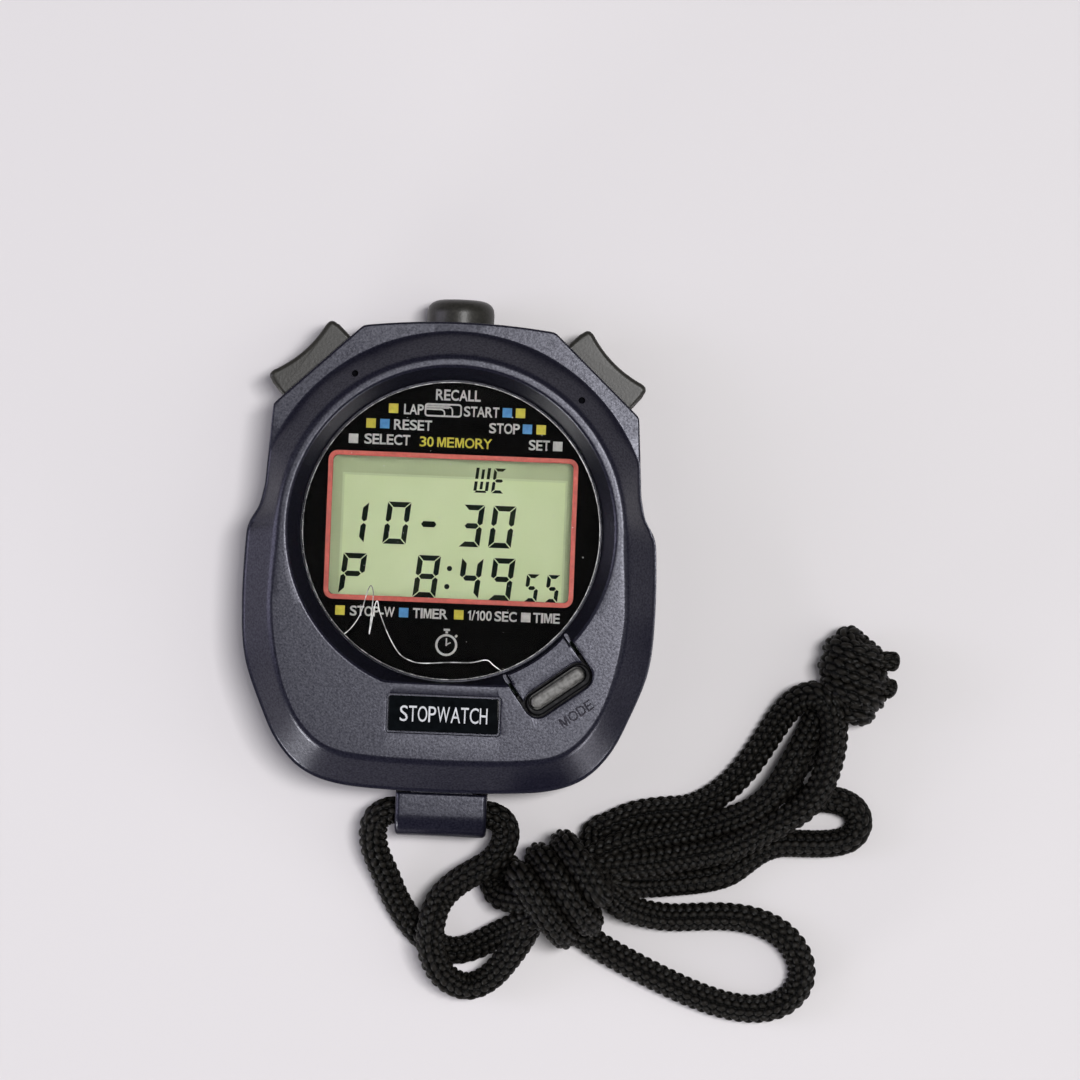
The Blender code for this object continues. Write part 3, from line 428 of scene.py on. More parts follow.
TOP_Y = 33.4
TOP_CORNER = (15.35, 32.35)
SIDE_CORNER = (29.25, 19.3)
SIDE_OUTLINE = [
    (30.1, 6.5),
    (30.9, 3.0),
    (32.35, 0.3),
    (32.85, -2.6),
    (33.05, -12.5),
    (32.3, -21.2),
    (29.4, -29.2),
    (26.5, -34.9),
    (22.4, -39.0),
    (16.6, -41.05),
    (8.0, -41.7),
    (0.0, -41.85),
]
BOTTOM_Y = SIDE_OUTLINE[-1][1]
CREASE_RADIUS = 27.8
CREASE_OUTLINE = [
    (27.85, -2.0),
    (28.3, -9.0),
    (28.3, -14.5),
    (27.1, -22.0),
    (25.0, -28.3),
    (21.8, -33.0),
    (17.5, -35.7),
    (10.0, -36.65),
    (0.0, -36.9),
]
PARTING_Z = 7.4
RIM_Z = 14.6
SHOULDER_RADIUS = 31.7
RECESS_RADIUS = 26.2
RECESS_CHORD_Y = -24.3
RECESS_FOOT_RADIUS = 24.1
RECESS_FOOT_Z = 17.2
CASE_STEPS = 540


def smooth_curve(points, shares):
    """Points on a smooth curve through the given ones, at some shares of each stretch."""
    given = [np.array(p, float) for p in points]
    given = [2 * given[0] - given[1], *given, 2 * given[-1] - given[-2]]
    curve = []
    for before, start, end, after in zip(given, given[1:], given[2:], given[3:]):
        for t in shares:
            middle = (end - before) / 2
            bend = before - 2.5 * start + 2 * end - after / 2
            twist = (after - before) / 2 + 1.5 * (start - end)
            curve.append(start + middle * t + bend * t**2 + twist * t**3)
    curve.append(given[-2])
    return curve


def flat_curve(points, steps=12):
    return [tuple(p) for p in smooth_curve(points, [i / steps for i in range(steps)])]


def radii_of(half):
    """The radius about the dial at each angle of the case, from its right half, top to bottom."""
    angles = np.array([math.atan2(y, x) for x, y in half])[::-1]
    radii = np.array([math.hypot(x, y) for x, y in half])[::-1]
    return np.interp(np.arcsin(np.clip(np.sin(ANGLES), -1, 1)), angles, radii)


def softened(radii, width):
    """Radii smoothed over a few steps each way, which rounds the outline's corners."""
    offsets = np.arange(-3 * width, 3 * width + 1)
    weights = np.exp(-0.5 * (offsets / width) ** 2)
    weights /= weights.sum()
    return sum(w * np.roll(radii, int(k)) for w, k in zip(weights, offsets))


def line_to(start, end, steps=30):
    return [tuple(start[k] + (end[k] - start[k]) * i / steps for k in (0, 1)) for i in range(1, steps + 1)]


def top_edge(steps=12):
    width, bow = TOP_CORNER[0], TOP_Y - TOP_CORNER[1]
    return [(width * i / steps, TOP_Y - bow * (i / steps) ** 2) for i in range(steps + 1)]


ANGLES = np.linspace(0.0, 2 * np.pi, CASE_STEPS, endpoint=False)
OUTLINE = softened(
    radii_of(
        top_edge()
        + line_to(TOP_CORNER, SIDE_CORNER)
        + line_to(SIDE_CORNER, SIDE_OUTLINE[0])[:-1]
        + flat_curve(SIDE_OUTLINE)
    ),
    1.2,
)
CREASE = softened(
    radii_of(
        [(CREASE_RADIUS * math.sin(a), CREASE_RADIUS * math.cos(a)) for a in np.linspace(0, np.pi / 2, 60)]
        + flat_curve(CREASE_OUTLINE)
    ),
    2.0,
)
DOWN = -np.sin(ANGLES)
SHOULDER = np.where(DOWN < 0, np.minimum(SHOULDER_RADIUS, OUTLINE - 0.4), OUTLINE - 0.4)
SHOULDER = softened(SHOULDER, 1.2)
CHORD_REACH = np.where(DOWN > 0.5, -RECESS_CHORD_Y / np.maximum(DOWN, 0.5), RECESS_RADIUS)
RECESS = softened(np.minimum(RECESS_RADIUS, CHORD_REACH), 1.5)


def case_ring(radius, height):
    radius, height = np.broadcast_to(radius, ANGLES.shape), np.broadcast_to(height, ANGLES.shape)
    return np.stack([radius * np.cos(ANGLES), radius * np.sin(ANGLES), height], axis=1)


def at_angle(position, degrees):
    """A piece whose own Y axis points to the dial, as the buttons' and the key's do."""
    return lambda item, height=0.0: moved(item, (*position, height), degrees + 90.0)


def wall_frame(degrees, distance, offset=0.0):
    out = math.radians(degrees)
    x = distance * math.cos(out) - offset * math.sin(out)
    y = distance * math.sin(out) + offset * math.cos(out)
    return at_angle((x, y), degrees)


SIDE_BUTTON_ANGLE = 46.8
BUTTON_FRAMES = {
    "start_button": wall_frame(SIDE_BUTTON_ANGLE, 34.09, 0.97),
    "recall_button": wall_frame(90.0, TOP_Y),
    "lap_button": wall_frame(180.0 - SIDE_BUTTON_ANGLE, 34.09, -0.97),
}
POCKET_DEPTHS = (-6.0, 2.3)
POCKET_SIZE = (15.0, 9.6)
ROUND_POCKET_RADIUS = 5.75
SEAT_HALF_WIDTHS = {"start_button": 8.9, "recall_button": 6.9, "lap_button": 8.9}
PIN_MARK_RADIUS = 29.4
PIN_MARK_ANGLES = (123.7, 47.3)
KEY_ANGLE = -53.7
KEY_DISTANCE = 30.15
at_key = wall_frame(KEY_ANGLE, KEY_DISTANCE)
CASE_SCREWS = [(12.0, 28.4), (-12.0, 28.4), (-21.3, -30.2), (21.3, -30.2)]
KEY_HOLE = (12.2, 4.4)
KEY_HOLE_Y = -0.3
PAD_WIDTH = 10.7
PAD_INNER_RADIUS = 24.5
GROOVE_WIDTH = 0.62
PLATE = (17.5, 5.6)
PLATE_Y = -29.2
MODE_WORD_RADIUS = 35.0


# ---------------------------------------------------------------------------
# Case pieces
# ---------------------------------------------------------------------------


def case_paint():
    """Dark blue-grey lacquer over plastic, with fine metallic flakes."""
    paint = material("case_paint", (0.006, 0.006, 0.012), 0.29, Specular_IOR_Level=0.28)
    paint.node_tree.nodes["Principled BSDF"].inputs["Specular Tint"].default_value = (0.86, 0.87, 1.0, 1.0)
    flakes = noise(paint, 3600.0, 2.0)
    vary(paint, "Base Color", flakes, (0.003, 0.003, 0.008), (0.012, 0.0115, 0.020), 0.35, 0.7)
    vary(paint, "Specular IOR Level", noise(paint, 2900.0, 1.5), 0.2, 0.42, 0.32, 0.68)
    bump(paint, noise(paint, 3300.0, 1.0), 0.45, 0.015)
    bump(paint, noise(paint, 700.0, 2.0), 0.15, 0.05)
    return paint


def button_seat(name, low, high):
    """The block inside the wall that a button slides in."""
    half = SEAT_HALF_WIDTHS[name]
    return prism("seat", [(-half, 1.0), (half, 1.0), (half, 4.0), (-half, 4.0)], low, high)


def pocket_tool(name):
    """What a cap's pocket takes out of the wall: round for the recall button, else a rounded bar."""
    outer, inner = POCKET_DEPTHS
    if name == "recall_button":
        radius = ROUND_POCKET_RADIUS
        return turned("pocket", [(0, outer), (radius, outer), (radius, inner), (0, inner)], along_y=True)
    outline = rounded_box(*POCKET_SIZE, 0.9)
    return lofted("pocket", [[(x, depth, z) for x, z in outline] for depth in POCKET_DEPTHS])


def stem_hole():
    return turned("stem_hole", [(0, 1.0), (1.75, 1.0), (1.75, 6.0), (0, 6.0)], segments=24, along_y=True)


def bail_slot():
    half_width, half_height = 5.3, 2.6
    near, far = BOTTOM_Y + 3.5, BOTTOM_Y - 2
    corners = [(-half_width, far), (half_width, far), (half_width, near), (-half_width, near)]
    return on_dial(prism("slot", corners, PARTING_Z - half_height, PARTING_Z + half_height))


def flared(name, outline, low, high, flare=0.3):
    """A cutter that widens at its top by a small rounded amount, so the edge it leaves is eased."""
    shapes = [(0.0, low)] + [(rise, high - inset) for inset, rise in quarter_round(flare, 4)]
    shapes.append((flare, high + 1.0))
    return lofted(name, stacked([(scaled(outline, grow), z) for grow, z in shapes]))


def make_front_case(paint):
    out, sh, cr, rc = OUTLINE, SHOULDER, CREASE, RECESS
    low = PARTING_Z + 0.15
    lip = out - np.minimum(0.4, out - sh)
    slope_r, slope_z = cr - sh, FACE_Z - RIM_Z
    slope_length = np.hypot(slope_r, slope_z)
    unit = (slope_r / slope_length, slope_z / slope_length)
    foot_r, foot_z = RECESS_FOOT_RADIUS - rc, RECESS_FOOT_Z - FACE_Z
    foot_length = np.hypot(foot_r, foot_z)
    profile = arc_to((out - 0.25, low), (out, low), (out, low + 0.25), 3)
    profile += arc_to((out, RIM_Z - 0.35), (out, RIM_Z), (lip, RIM_Z), 5)
    edge = np.minimum(0.35, out - sh)
    profile += arc_to(
        (sh + edge * 0.9, np.full_like(sh, RIM_Z)),
        (sh, RIM_Z),
        (sh + unit[0] * 0.35, RIM_Z + unit[1] * 0.35),
        4,
    )
    for share in (0.3, 0.5, 0.7):
        profile.append((sh + slope_r * share, RIM_Z + slope_z * share))
    profile += arc_to((cr - unit[0] * 0.9, FACE_Z - unit[1] * 0.9), (cr, FACE_Z), (cr - 0.6, FACE_Z), 7)
    for share in (0.35, 0.7):
        profile.append((cr - 0.6 + (rc + 0.3 - cr + 0.6) * share, FACE_Z))
    wall = (foot_r / foot_length, foot_z / foot_length)
    profile += arc_to((rc + 0.3, FACE_Z), (rc, FACE_Z), (rc + wall[0] * 0.35, FACE_Z + wall[1] * 0.35), 5)
    profile += [
        (rc + foot_r * 0.6, FACE_Z + foot_z * 0.6),
        (RECESS_FOOT_RADIUS, RECESS_FOOT_Z),
        (RECESS_FOOT_RADIUS, 14.8),
        (22.7, 14.8),
        (22.7, 13.9),
        (25.7, 13.9),
    ]
    rise = np.clip((cr - 28.0) / 2.0, 0.0, 1.0)
    ceiling = 14.3 + 3.0 * rise * rise * (3 - 2 * rise)
    profile += [
        (25.9, ceiling),
        (np.maximum(cr - 1.0, 26.3), ceiling),
        (out - 1.8, RIM_Z - 1.8),
        (out - 1.8, low),
    ]
    case = on_dial(lofted("case_front", [case_ring(r, z) for r, z in profile], paint, closed=True))
    half = PAD_WIDTH / 2
    pad = [(-half, KEY_HOLE_Y + KEY_HOLE[1] / 2 - 0.5), (half, KEY_HOLE_Y + KEY_HOLE[1] / 2 - 0.5)]
    for i in range(17):
        x = half - PAD_WIDTH * i / 16
        pad.append((x, KEY_DISTANCE - math.sqrt(PAD_INNER_RADIUS**2 - x * x)))
    joined = [at_key(slab("pad", pad, RECESS_FOOT_Z + 0.3, FACE_Z - 0.01, top=0.25, steps=3))]
    removed = []
    for name, frame_of in BUTTON_FRAMES.items():
        joined.append(frame_of(button_seat(name, PARTING_Z + 0.3, RIM_Z - 1.1)))
        removed += [frame_of(pocket_tool(name), PARTING_Z), frame_of(stem_hole(), PARTING_Z)]
    for centre in CASE_SCREWS:
        top = RIM_Z - 1.0 if centre[1] > 0 else 17.9
        joined.append(on_dial(prism("post", circle(2.8, centre, 32), 7.8, top)))
        removed.append(on_dial(prism("pilot", circle(1.2, centre, 24), PARTING_Z, RIM_Z - 2.0)))
    for side in (-1, 1):
        x = side * (PAD_WIDTH + 1.05) / 2
        strip = rounded_box(GROOVE_WIDTH, 7.0, 0.3, (x, 3.0), steps=3)
        removed.append(at_key(flared("groove", strip, 17.3, FACE_Z, 0.12)))
    hole = rounded_box(*KEY_HOLE, KEY_HOLE[1] / 2 - 0.01, (0.0, KEY_HOLE_Y), steps=12)
    removed.append(at_key(flared("key_hole", hole, 14.0, FACE_Z, 0.25)))
    pocket = rounded_box(PLATE[0] + 0.6, PLATE[1] + 0.6, 0.5, (0.0, PLATE_Y), steps=4)
    removed.append(on_dial(flared("plate_pocket", pocket, 18.6, FACE_Z, 0.15)))
    pins = [polar(PIN_MARK_RADIUS, degrees) for degrees in PIN_MARK_ANGLES]
    removed += [on_dial(prism("dimple", circle(0.55, centre, 24), 15.7, FACE_Z)) for centre in pins]
    removed.append(bail_slot())
    carved(case, joined, removed)
    # Painted shade: the recess wall faces get a darker, less glossy copy of the case finish that stands for
    # the shade inside the recess.
    inner = material("recess_painted_shade", (0.004, 0.004, 0.008), 0.35, Specular_IOR_Level=0.1)
    flakes = noise(inner, 3600.0, 2.0)
    vary(inner, "Base Color", flakes, (0.002, 0.002, 0.004), (0.007, 0.007, 0.012), 0.35, 0.7)
    case.data.materials.append(inner)
    for face in case.data.polygons:
        x, y, z = (c / MM for c in face.center)
        reach = math.hypot(x, y)
        if 24.0 < reach < 26.25 and 14.0 < z < 19.35 and abs(face.normal.z) < 0.93:
            face.material_index = 1
    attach(case, "case")
    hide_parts("front_case")
    # Painted shade: near-black, matte, unreflective discs at the bottom of the pin dimples stand for the
    # shade inside the holes.
    pit = material("pin_hole_shade", (0.003, 0.003, 0.005), 0.9, Specular_IOR_Level=0.0)
    vary(pit, "Base Color", noise(pit, 3000.0), (0.002, 0.002, 0.003), (0.006, 0.006, 0.008))
    marks = [circle(0.56, centre, 24) for centre in pins]
    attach(on_dial(flat_print("pin_hole_shade_discs", marks, 15.6, pit, thick=0.5)), "case")


def make_back(paint):
    high = PARTING_Z - 0.15
    out = OUTLINE
    profile = [(out - 2.4, 0.0)] + arc_to((out - 2.2, 0.0), (out - 1.9, 0.0), (out - 1.75, 0.35), 3)
    profile += arc_to((out - 0.5, 2.2), (out - 0.1, 2.75), (out - 0.05, 3.3), 5)
    profile += arc_to((out, high - 0.25), (out, high), (out - 0.25, high), 3)
    profile += [(out - 1.8, high), (out - 2.2, 3.2), (out - 3.8, 1.6)]
    back = on_dial(lofted("case_back", [case_ring(r, z) for r, z in profile], paint))
    joined, removed = [], []
    for name, frame_of in BUTTON_FRAMES.items():
        joined.append(frame_of(button_seat(name, 0.9, PARTING_Z - 0.3)))
        removed += [frame_of(pocket_tool(name), PARTING_Z), frame_of(stem_hole(), PARTING_Z)]
    for centre in CASE_SCREWS:
        joined.append(on_dial(prism("post", circle(3.2, centre, 32), 0.8, 7.0)))
        for radius, low, top in ((2.35, -1.0, 2.4), (1.3, 0.0, 8.4)):
            removed.append(on_dial(prism("screw_hole", circle(radius, centre, 32), low, top)))
    removed.append(bail_slot())
    carved(back, joined, removed)
    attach(back, "case")
    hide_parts("rear_cover")


def make_buttons(paint):
    stem = [(1.4, -1.6), (1.4, 4.3), (0.9, 4.3), (0.9, 5.4), (1.4, 5.4), (1.4, 6.1), (0, 6.1)]
    for name in ("start_button", "lap_button"):
        outline = bar_outline()
        rings = [(inset, rise - 4.5) for inset, rise in quarter_round(0.7, 6)]
        rings += [(inset, -z) for inset, z in rings[::-1]]
        shapes = stacked([(scaled(outline, -inset), z) for inset, z in rings])
        cap = lofted(f"{name}_cap", shapes, paint)
        merged(cap, [turned("stem", [(0, -1.6), *stem], segments=24, along_y=True)])
        BUTTON_FRAMES[name](evened(cap), PARTING_Z)
        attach(cap, name)
        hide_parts(name)
    radius, top = 5.4, -3.9
    profile = [(0, top), (1.2, top + 0.01), (2.4, top + 0.06)]
    profile += arc_to((3.2, top + 0.12), (radius, top + 0.4), (radius, top + 2.3), 9)
    profile += [(radius, 0.8), (radius - 1.0, 0.8), (radius - 1.0, -2.2), (1.4, -2.2), *stem[1:]]
    crown = turned("recall_button_cap", profile, paint, along_y=True)
    BUTTON_FRAMES["recall_button"](crown, PARTING_Z)
    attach(evened(crown), "recall_button")
    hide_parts("recall_button")


def bar_outline():
    """A bar cap from above: straight in its pocket, tapered outside it, with a hollowed outer face."""
    half, top, hollow = 7.2, -4.45, 0.9
    outer = half - 0.25
    outline = [(-half, 0.8), (-half, -0.8), (-outer - 0.15, top + 1.7)]
    outline += arc_to((-outer, top + 1.3), (-outer + 0.1, top), (-outer + 1.5, top + 0.3), 7)
    for i in range(1, 20):
        x = (outer - 1.5) * (i / 10 - 1)
        share = x / (outer - 1.5)
        outline.append((x, top + 0.3 + (hollow - 0.1) * (1 - share * share)))
    return outline + [(-x, y) for x, y in outline[10::-1]]


def make_mode_key(key_paint, dark_paint):
    outline = rounded_box(9.7, 2.0, 0.99, steps=10)
    key = at_key(slab("mode_key_cap", outline, 14.6, FACE_Z, key_paint, top=0.55, steps=7))
    flange = at_key(slab("flange", rounded_box(11.4, 4.0, 1.6, steps=6), 14.2, 15.4, top=0.2))
    post = at_key(slab("post", circle(1.1, segments=24), 10.4, 14.8))
    carved(key, joined=[flange, post])
    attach(key, "mode_key")
    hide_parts("mode_key")
    body = rounded_box(KEY_HOLE[0] - 0.6, KEY_HOLE[1] - 0.6, 1.79, (0.0, KEY_HOLE_Y), steps=10)
    bezel = at_key(slab("mode_key_frame", body, 16.4, 18.4, dark_paint, top=0.3))
    flange = at_key(slab("flange", rounded_box(14.4, 5.6, 1.6, (0.0, KEY_HOLE_Y), steps=6), 15.7, 17.0))
    slot = at_key(flared("slot", rounded_box(10.3, 2.6, 1.28, steps=10), 15.0, 18.4, 0.2))
    carved(bezel, joined=[flange], removed=[slot])
    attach(bezel, "case")
    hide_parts("mode_key_bezel")


def make_bail(paint):
    (foot, head), (low, high) = (-49.2, BOTTOM_Y - 0.3), (3.0, 11.6)
    section = [(head, low)]
    section += arc_to((head, high - 0.4), (head, high), (head - 0.4, high), 4)
    section += [(foot + 3.6 + (head - foot - 4.2) * t, high) for t in (0.66, 0.33)]
    for i in range(0, 13):
        turn = math.radians(7.5 * i)
        section.append((foot + 3.6 - 3.6 * math.sin(turn), high - 3.6 + 3.6 * math.cos(turn)))
    section += arc_to((foot, low + 1.6), (foot, low), (foot + 1.6, low), 5)
    half = 7.35
    middle_y, middle_z = (foot + head) / 2, (low + high) / 2
    shapes = [(inset, rise - half) for inset, rise in quarter_round(0.75, 6)]
    shapes += [(inset, -x) for inset, x in shapes[::-1]]
    rings = []
    for inset, x in shapes:
        scale_y = 1 - inset / ((head - foot) / 2)
        scale_z = 1 - inset / ((high - low) / 2)
        ring = []
        for y, z in section:
            ring_y = middle_y + (y - middle_y) * scale_y + (inset if y > middle_y else 0)
            ring.append((x, min(head, ring_y), middle_z + (z - middle_z) * scale_z))
        rings.append(ring)
    bail = on_dial(lofted("bail", rings, paint))
    opening = rounded_box(5.2, 5.2, 1.4, (-45.35, 7.3), steps=6)
    tunnel = on_dial(lofted("tunnel", [[(x, y, z) for y, z in opening] for x in (-10.0, 10.0)]))
    neck = [(-5.0, head - 0.2), (5.0, head - 0.2), (5.0, head + 4.2), (-5.0, head + 4.2)]
    root = [(-7.5, -39.3), (7.5, -39.3), (7.5, -38.0), (-7.5, -38.0)]
    blocks = [on_dial(prism("neck", neck, 5.1, 9.7)), on_dial(prism("root", root, 4.1, 10.7))]
    carved(bail, joined=blocks, removed=[tunnel])
    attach(bail, "case")
    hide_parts("lanyard_bail")


# ---------------------------------------------------------------------------
# Display and print
# ---------------------------------------------------------------------------

WINDOW = (38.3, 22.2)
WINDOW_Y = 0.35
MASK_RADIUS = 23.7
MASK_TOP = 15.5
PRINT_FOOT = MASK_TOP + 0.01
PRINT_HEAD = MASK_TOP + 0.03
LCD_TOP = 13.6
LENS_TOP = 17.5
ON_LENS = LENS_TOP + 0.005

# Rows of words: the height of a row on the dial, the height of its capitals, and each word's
# middle and width.
WHITE_ROWS = [
    (21.65, 1.75, [("RECALL", 0.25, 7.15)]),
    (19.15, 1.65, [("LAP", -6.75, 3.15), ("START", 4.05, 5.65)]),
    (16.65, 1.65, [("RESET", -6.8, 6.05), ("STOP", 7.8, 4.9)]),
    (14.2, 1.65, [("SELECT", -10.8, 7.3), ("SET", 13.45, 3.35)]),
    (-13.3, 1.6, [("STOP-W", -12.1, 7.15), ("TIMER", -2.85, 5.55)]),
    (-13.3, 1.6, [("1/100 SEC", 7.05, 7.8), ("TIME", 15.7, 4.25)]),
]
YELLOW_ROWS = [(14.1, 1.6, [("30 MEMORY", 0.15, 11.55)])]
# Rows of squares: the height of a row, then the middle of each square in it.
SQUARE_ROWS = {
    "yellow": [(19.2, (-10.0, 10.25)), (16.7, (-13.5, 13.65)), (-13.3, (-17.25, 1.7))],
    "blue": [(19.2, (8.15,)), (16.7, (-11.3, 11.45)), (-13.3, (-7.1,))],
    "white": [(14.15, (-16.2, 16.4)), (-13.3, (12.4,))],
}
SQUARE_SIZE = 1.5


def flat_print(name, shapes, height, paint, thick=0.02):
    """Thin raised print from a list of outlines."""
    points, faces = [], []
    for outline in shapes:
        outline = [tuple(p) for p in outline]
        area = sum(a[0] * b[1] - b[0] * a[1] for a, b in zip(outline, outline[1:] + outline[:1]))
        if area < 0:
            outline = outline[::-1]
        first, count = len(points), len(outline)
        points += [(x, y, height) for x, y in outline] + [(x, y, height + thick) for x, y in outline]
        faces.append(tuple(first + i for i in reversed(range(count))))
        faces.append(tuple(first + count + i for i in range(count)))
        for i in range(count):
            j = (i + 1) % count
            faces.append((first + i, first + j, first + count + j, first + count + i))
    mesh = bpy.data.meshes.new(name)
    mesh.from_pydata([tuple(c * MM for c in p) for p in points], [], faces)
    mesh.materials.append(paint)
    item = added(name, mesh)
    return item


# Widths of bold sans-serif letters, in ems. Their capitals are 0.716 em tall.
LETTER_WIDTHS = {
    "A": 0.72, "C": 0.66, "D": 0.62, "E": 0.53, "H": 0.57, "I": 0.15, "L": 0.50, "M": 0.69, "O": 0.71,
    "P": 0.57, "R": 0.65, "S": 0.59, "T": 0.58, "W": 0.93, "Y": 0.65, "0": 0.48, "1": 0.27, "3": 0.49,
    "/": 0.28, "-": 0.28,
}
CAPITAL = 0.716
CLOSER = {"RY": 0.11, "LA": 0.04, "AT": 0.05, "TA": 0.05}  # pairs that are set closer together, in ems


# Two letters, drawn as bold outlines run anticlockwise.
DRAWN_LETTERS = {
    "M": [
        (0.0, 0.0), (0.13, 0.0), (0.13, 0.5), (0.28, 0.0), (0.41, 0.0), (0.56, 0.5), (0.56, 0.0),
        (0.69, 0.0), (0.69, 0.716), (0.48, 0.716), (0.345, 0.23), (0.21, 0.716), (0.0, 0.716),
    ],
    "1": [
        (0.14, 0.0), (0.27, 0.0), (0.27, 0.716), (0.17, 0.716),
        (0.12, 0.65), (0.0, 0.6), (0.0, 0.49), (0.14, 0.54),
    ],
}


def letter_loops(symbol):
    """The outline loops of a letter, fitted to its width and 0.716 em tall."""
    data = bpy.data.curves.new("letter", "FONT")
    data.body = symbol
    data.size = 1.0
    data.resolution_u = 4
    source = added("letter", data)
    bpy.context.view_layer.update()
    mesh = bpy.data.meshes.new_from_object(source.evaluated_get(bpy.context.evaluated_depsgraph_get()))
    bpy.data.objects.remove(source)
    work = bmesh.new()
    work.from_mesh(mesh)
    bmesh.ops.remove_doubles(work, verts=work.verts, dist=1e-5)
    follows = {}
    for edge in work.edges:
        if len(edge.link_loops) == 1:
            loop = edge.link_loops[0]
            follows[loop.vert.index] = loop.link_loop_next.vert.index
    spots = {v.index: (v.co.x, v.co.y) for v in work.verts}
    work.free()
    bpy.data.meshes.remove(mesh)
    loops = []
    while follows:
        start, after = follows.popitem()
        loop = [start]
        while after != start:
            loop.append(after)
            after = follows.pop(after)
        loops.append(np.array([spots[i] for i in loop]))
    everything = np.concatenate(loops)
    low, high = everything.min(axis=0), everything.max(axis=0)
    tall = 0.72 if high[1] - low[1] > 0.6 else high[1] - low[1]
    fit = (LETTER_WIDTHS[symbol] / (high[0] - low[0]), tall / (high[1] - low[1]) * CAPITAL / 0.72)
    base = 0.0 if high[1] - low[1] > 0.6 else low[1]
    return [(loop - (low[0], low[1])) * fit + (0.0, base) for loop in loops]


def emboldened(loop, grow):
    """A loop moved outwards on its left-hand side, with mitred corners."""
    before, after = np.roll(loop, 1, axis=0), np.roll(loop, -1, axis=0)
    a, b = loop - before, after - loop
    a, b = (v / np.maximum(np.hypot(v[:, 0], v[:, 1]), 1e-9)[:, None] for v in (a, b))
    n1, n2 = (np.stack([v[:, 1], -v[:, 0]], axis=1) for v in (a, b))
    n = n1 + n2
    n = n / np.maximum(np.hypot(n[:, 0], n[:, 1]), 1e-9)[:, None]
    reach = np.minimum(1.0 / np.maximum(np.sum(n * n1, axis=1), 0.1), 1.6)
    return loop + n * (grow * reach)[:, None]


def lettering(name, rows, height, paint, weight=0.021, thick=0.02):
    """Printed words, in rows. Each is fitted to its middle, its width and the row's capitals."""
    points, faces = [], []
    words = [(text, x, y, width, tall) for y, tall, row in rows for text, x, width in row]
    for text, x, y, width, tall in words:
        across, glyphs, before = 0.0, [], ""
        for symbol in text:
            across -= CLOSER.get(before + symbol, 0.0)
            before = symbol
            if symbol == " ":
                across += 0.2
                continue
            if symbol in DRAWN_LETTERS:
                loops = [emboldened(np.array(DRAWN_LETTERS[symbol]), weight - 0.018)]
            else:
                loops = [emboldened(loop, weight) for loop in letter_loops(symbol)]
            glyphs.append([loop + (across, 0.0) for loop in loops])
            across += LETTER_WIDTHS[symbol] + 0.085
        everything = np.concatenate([loop for loops in glyphs for loop in loops])
        low, high = everything.min(axis=0), everything.max(axis=0)
        fit = np.array((width / (high[0] - low[0]), tall / (high[1] - low[1])))
        for loops in glyphs:
            fitted = [(loop - (low + high) / 2) * fit + (x, y) for loop in loops]
            triangles = tessellate_polygon([[Vector((px, py, 0.0)) for px, py in loop] for loop in fitted])
            flat = np.concatenate(fitted)
            first, count = len(points), len(flat)
            points += [(px, py, height) for px, py in flat] + [(px, py, height + thick) for px, py in flat]
            for i, j, k in triangles:
                (ax, ay), (bx, by), (cx, cy) = flat[i], flat[j], flat[k]
                turn = (bx - ax) * (cy - ay) - (by - ay) * (cx - ax)
                if abs(turn) < 1e-9:
                    continue
                if turn < 0:
                    j, k = k, j
                faces.append((first + count + i, first + count + j, first + count + k))
                faces.append((first + i, first + k, first + j))
            begin = first
            for loop in fitted:
                size = len(loop)
                for i in range(size):
                    j = (i + 1) % size
                    faces.append((begin + i, begin + j, begin + count + j, begin + count + i))
                begin += size
    mesh = bpy.data.meshes.new(name)
    mesh.from_pydata([tuple(c * MM for c in p) for p in points], [], faces)
    mesh.materials.append(paint)
    item = added(name, mesh)
    return item


def stroked(points, width):
    """The outline of an open line of some width."""
    points = np.array(points, float)
    along = np.gradient(points, axis=0)
    along = along / np.hypot(along[:, 0], along[:, 1])[:, None]
    side = np.stack([-along[:, 1], along[:, 0]], axis=1) * width / 2
    return [tuple(p) for p in np.concatenate([points + side, (points - side)[::-1]])]


def frame_line(name, width, depth, radius, line, centre, low, high, paint, slot):
    """A rounded rectangular line, as a closed loop with a flat section."""
    outer = rounded_box(width, depth, radius, centre, steps=8)
    inner = rounded_box(width - 2 * line, depth - 2 * line, max(0.15, radius - line), centre, steps=8)
    return band(name, outer, inner, low, high, paint)


SEGMENTS = {
    "0": "abcdef",
    "1": "bc",
    "3": "abcdg",
    "4": "bcfg",
    "5": "acdfg",
    "8": "abcdefg",
    "9": "abcdfg",
    "P": "abefg",
    "E": "adefg",
    "-": "g",
}


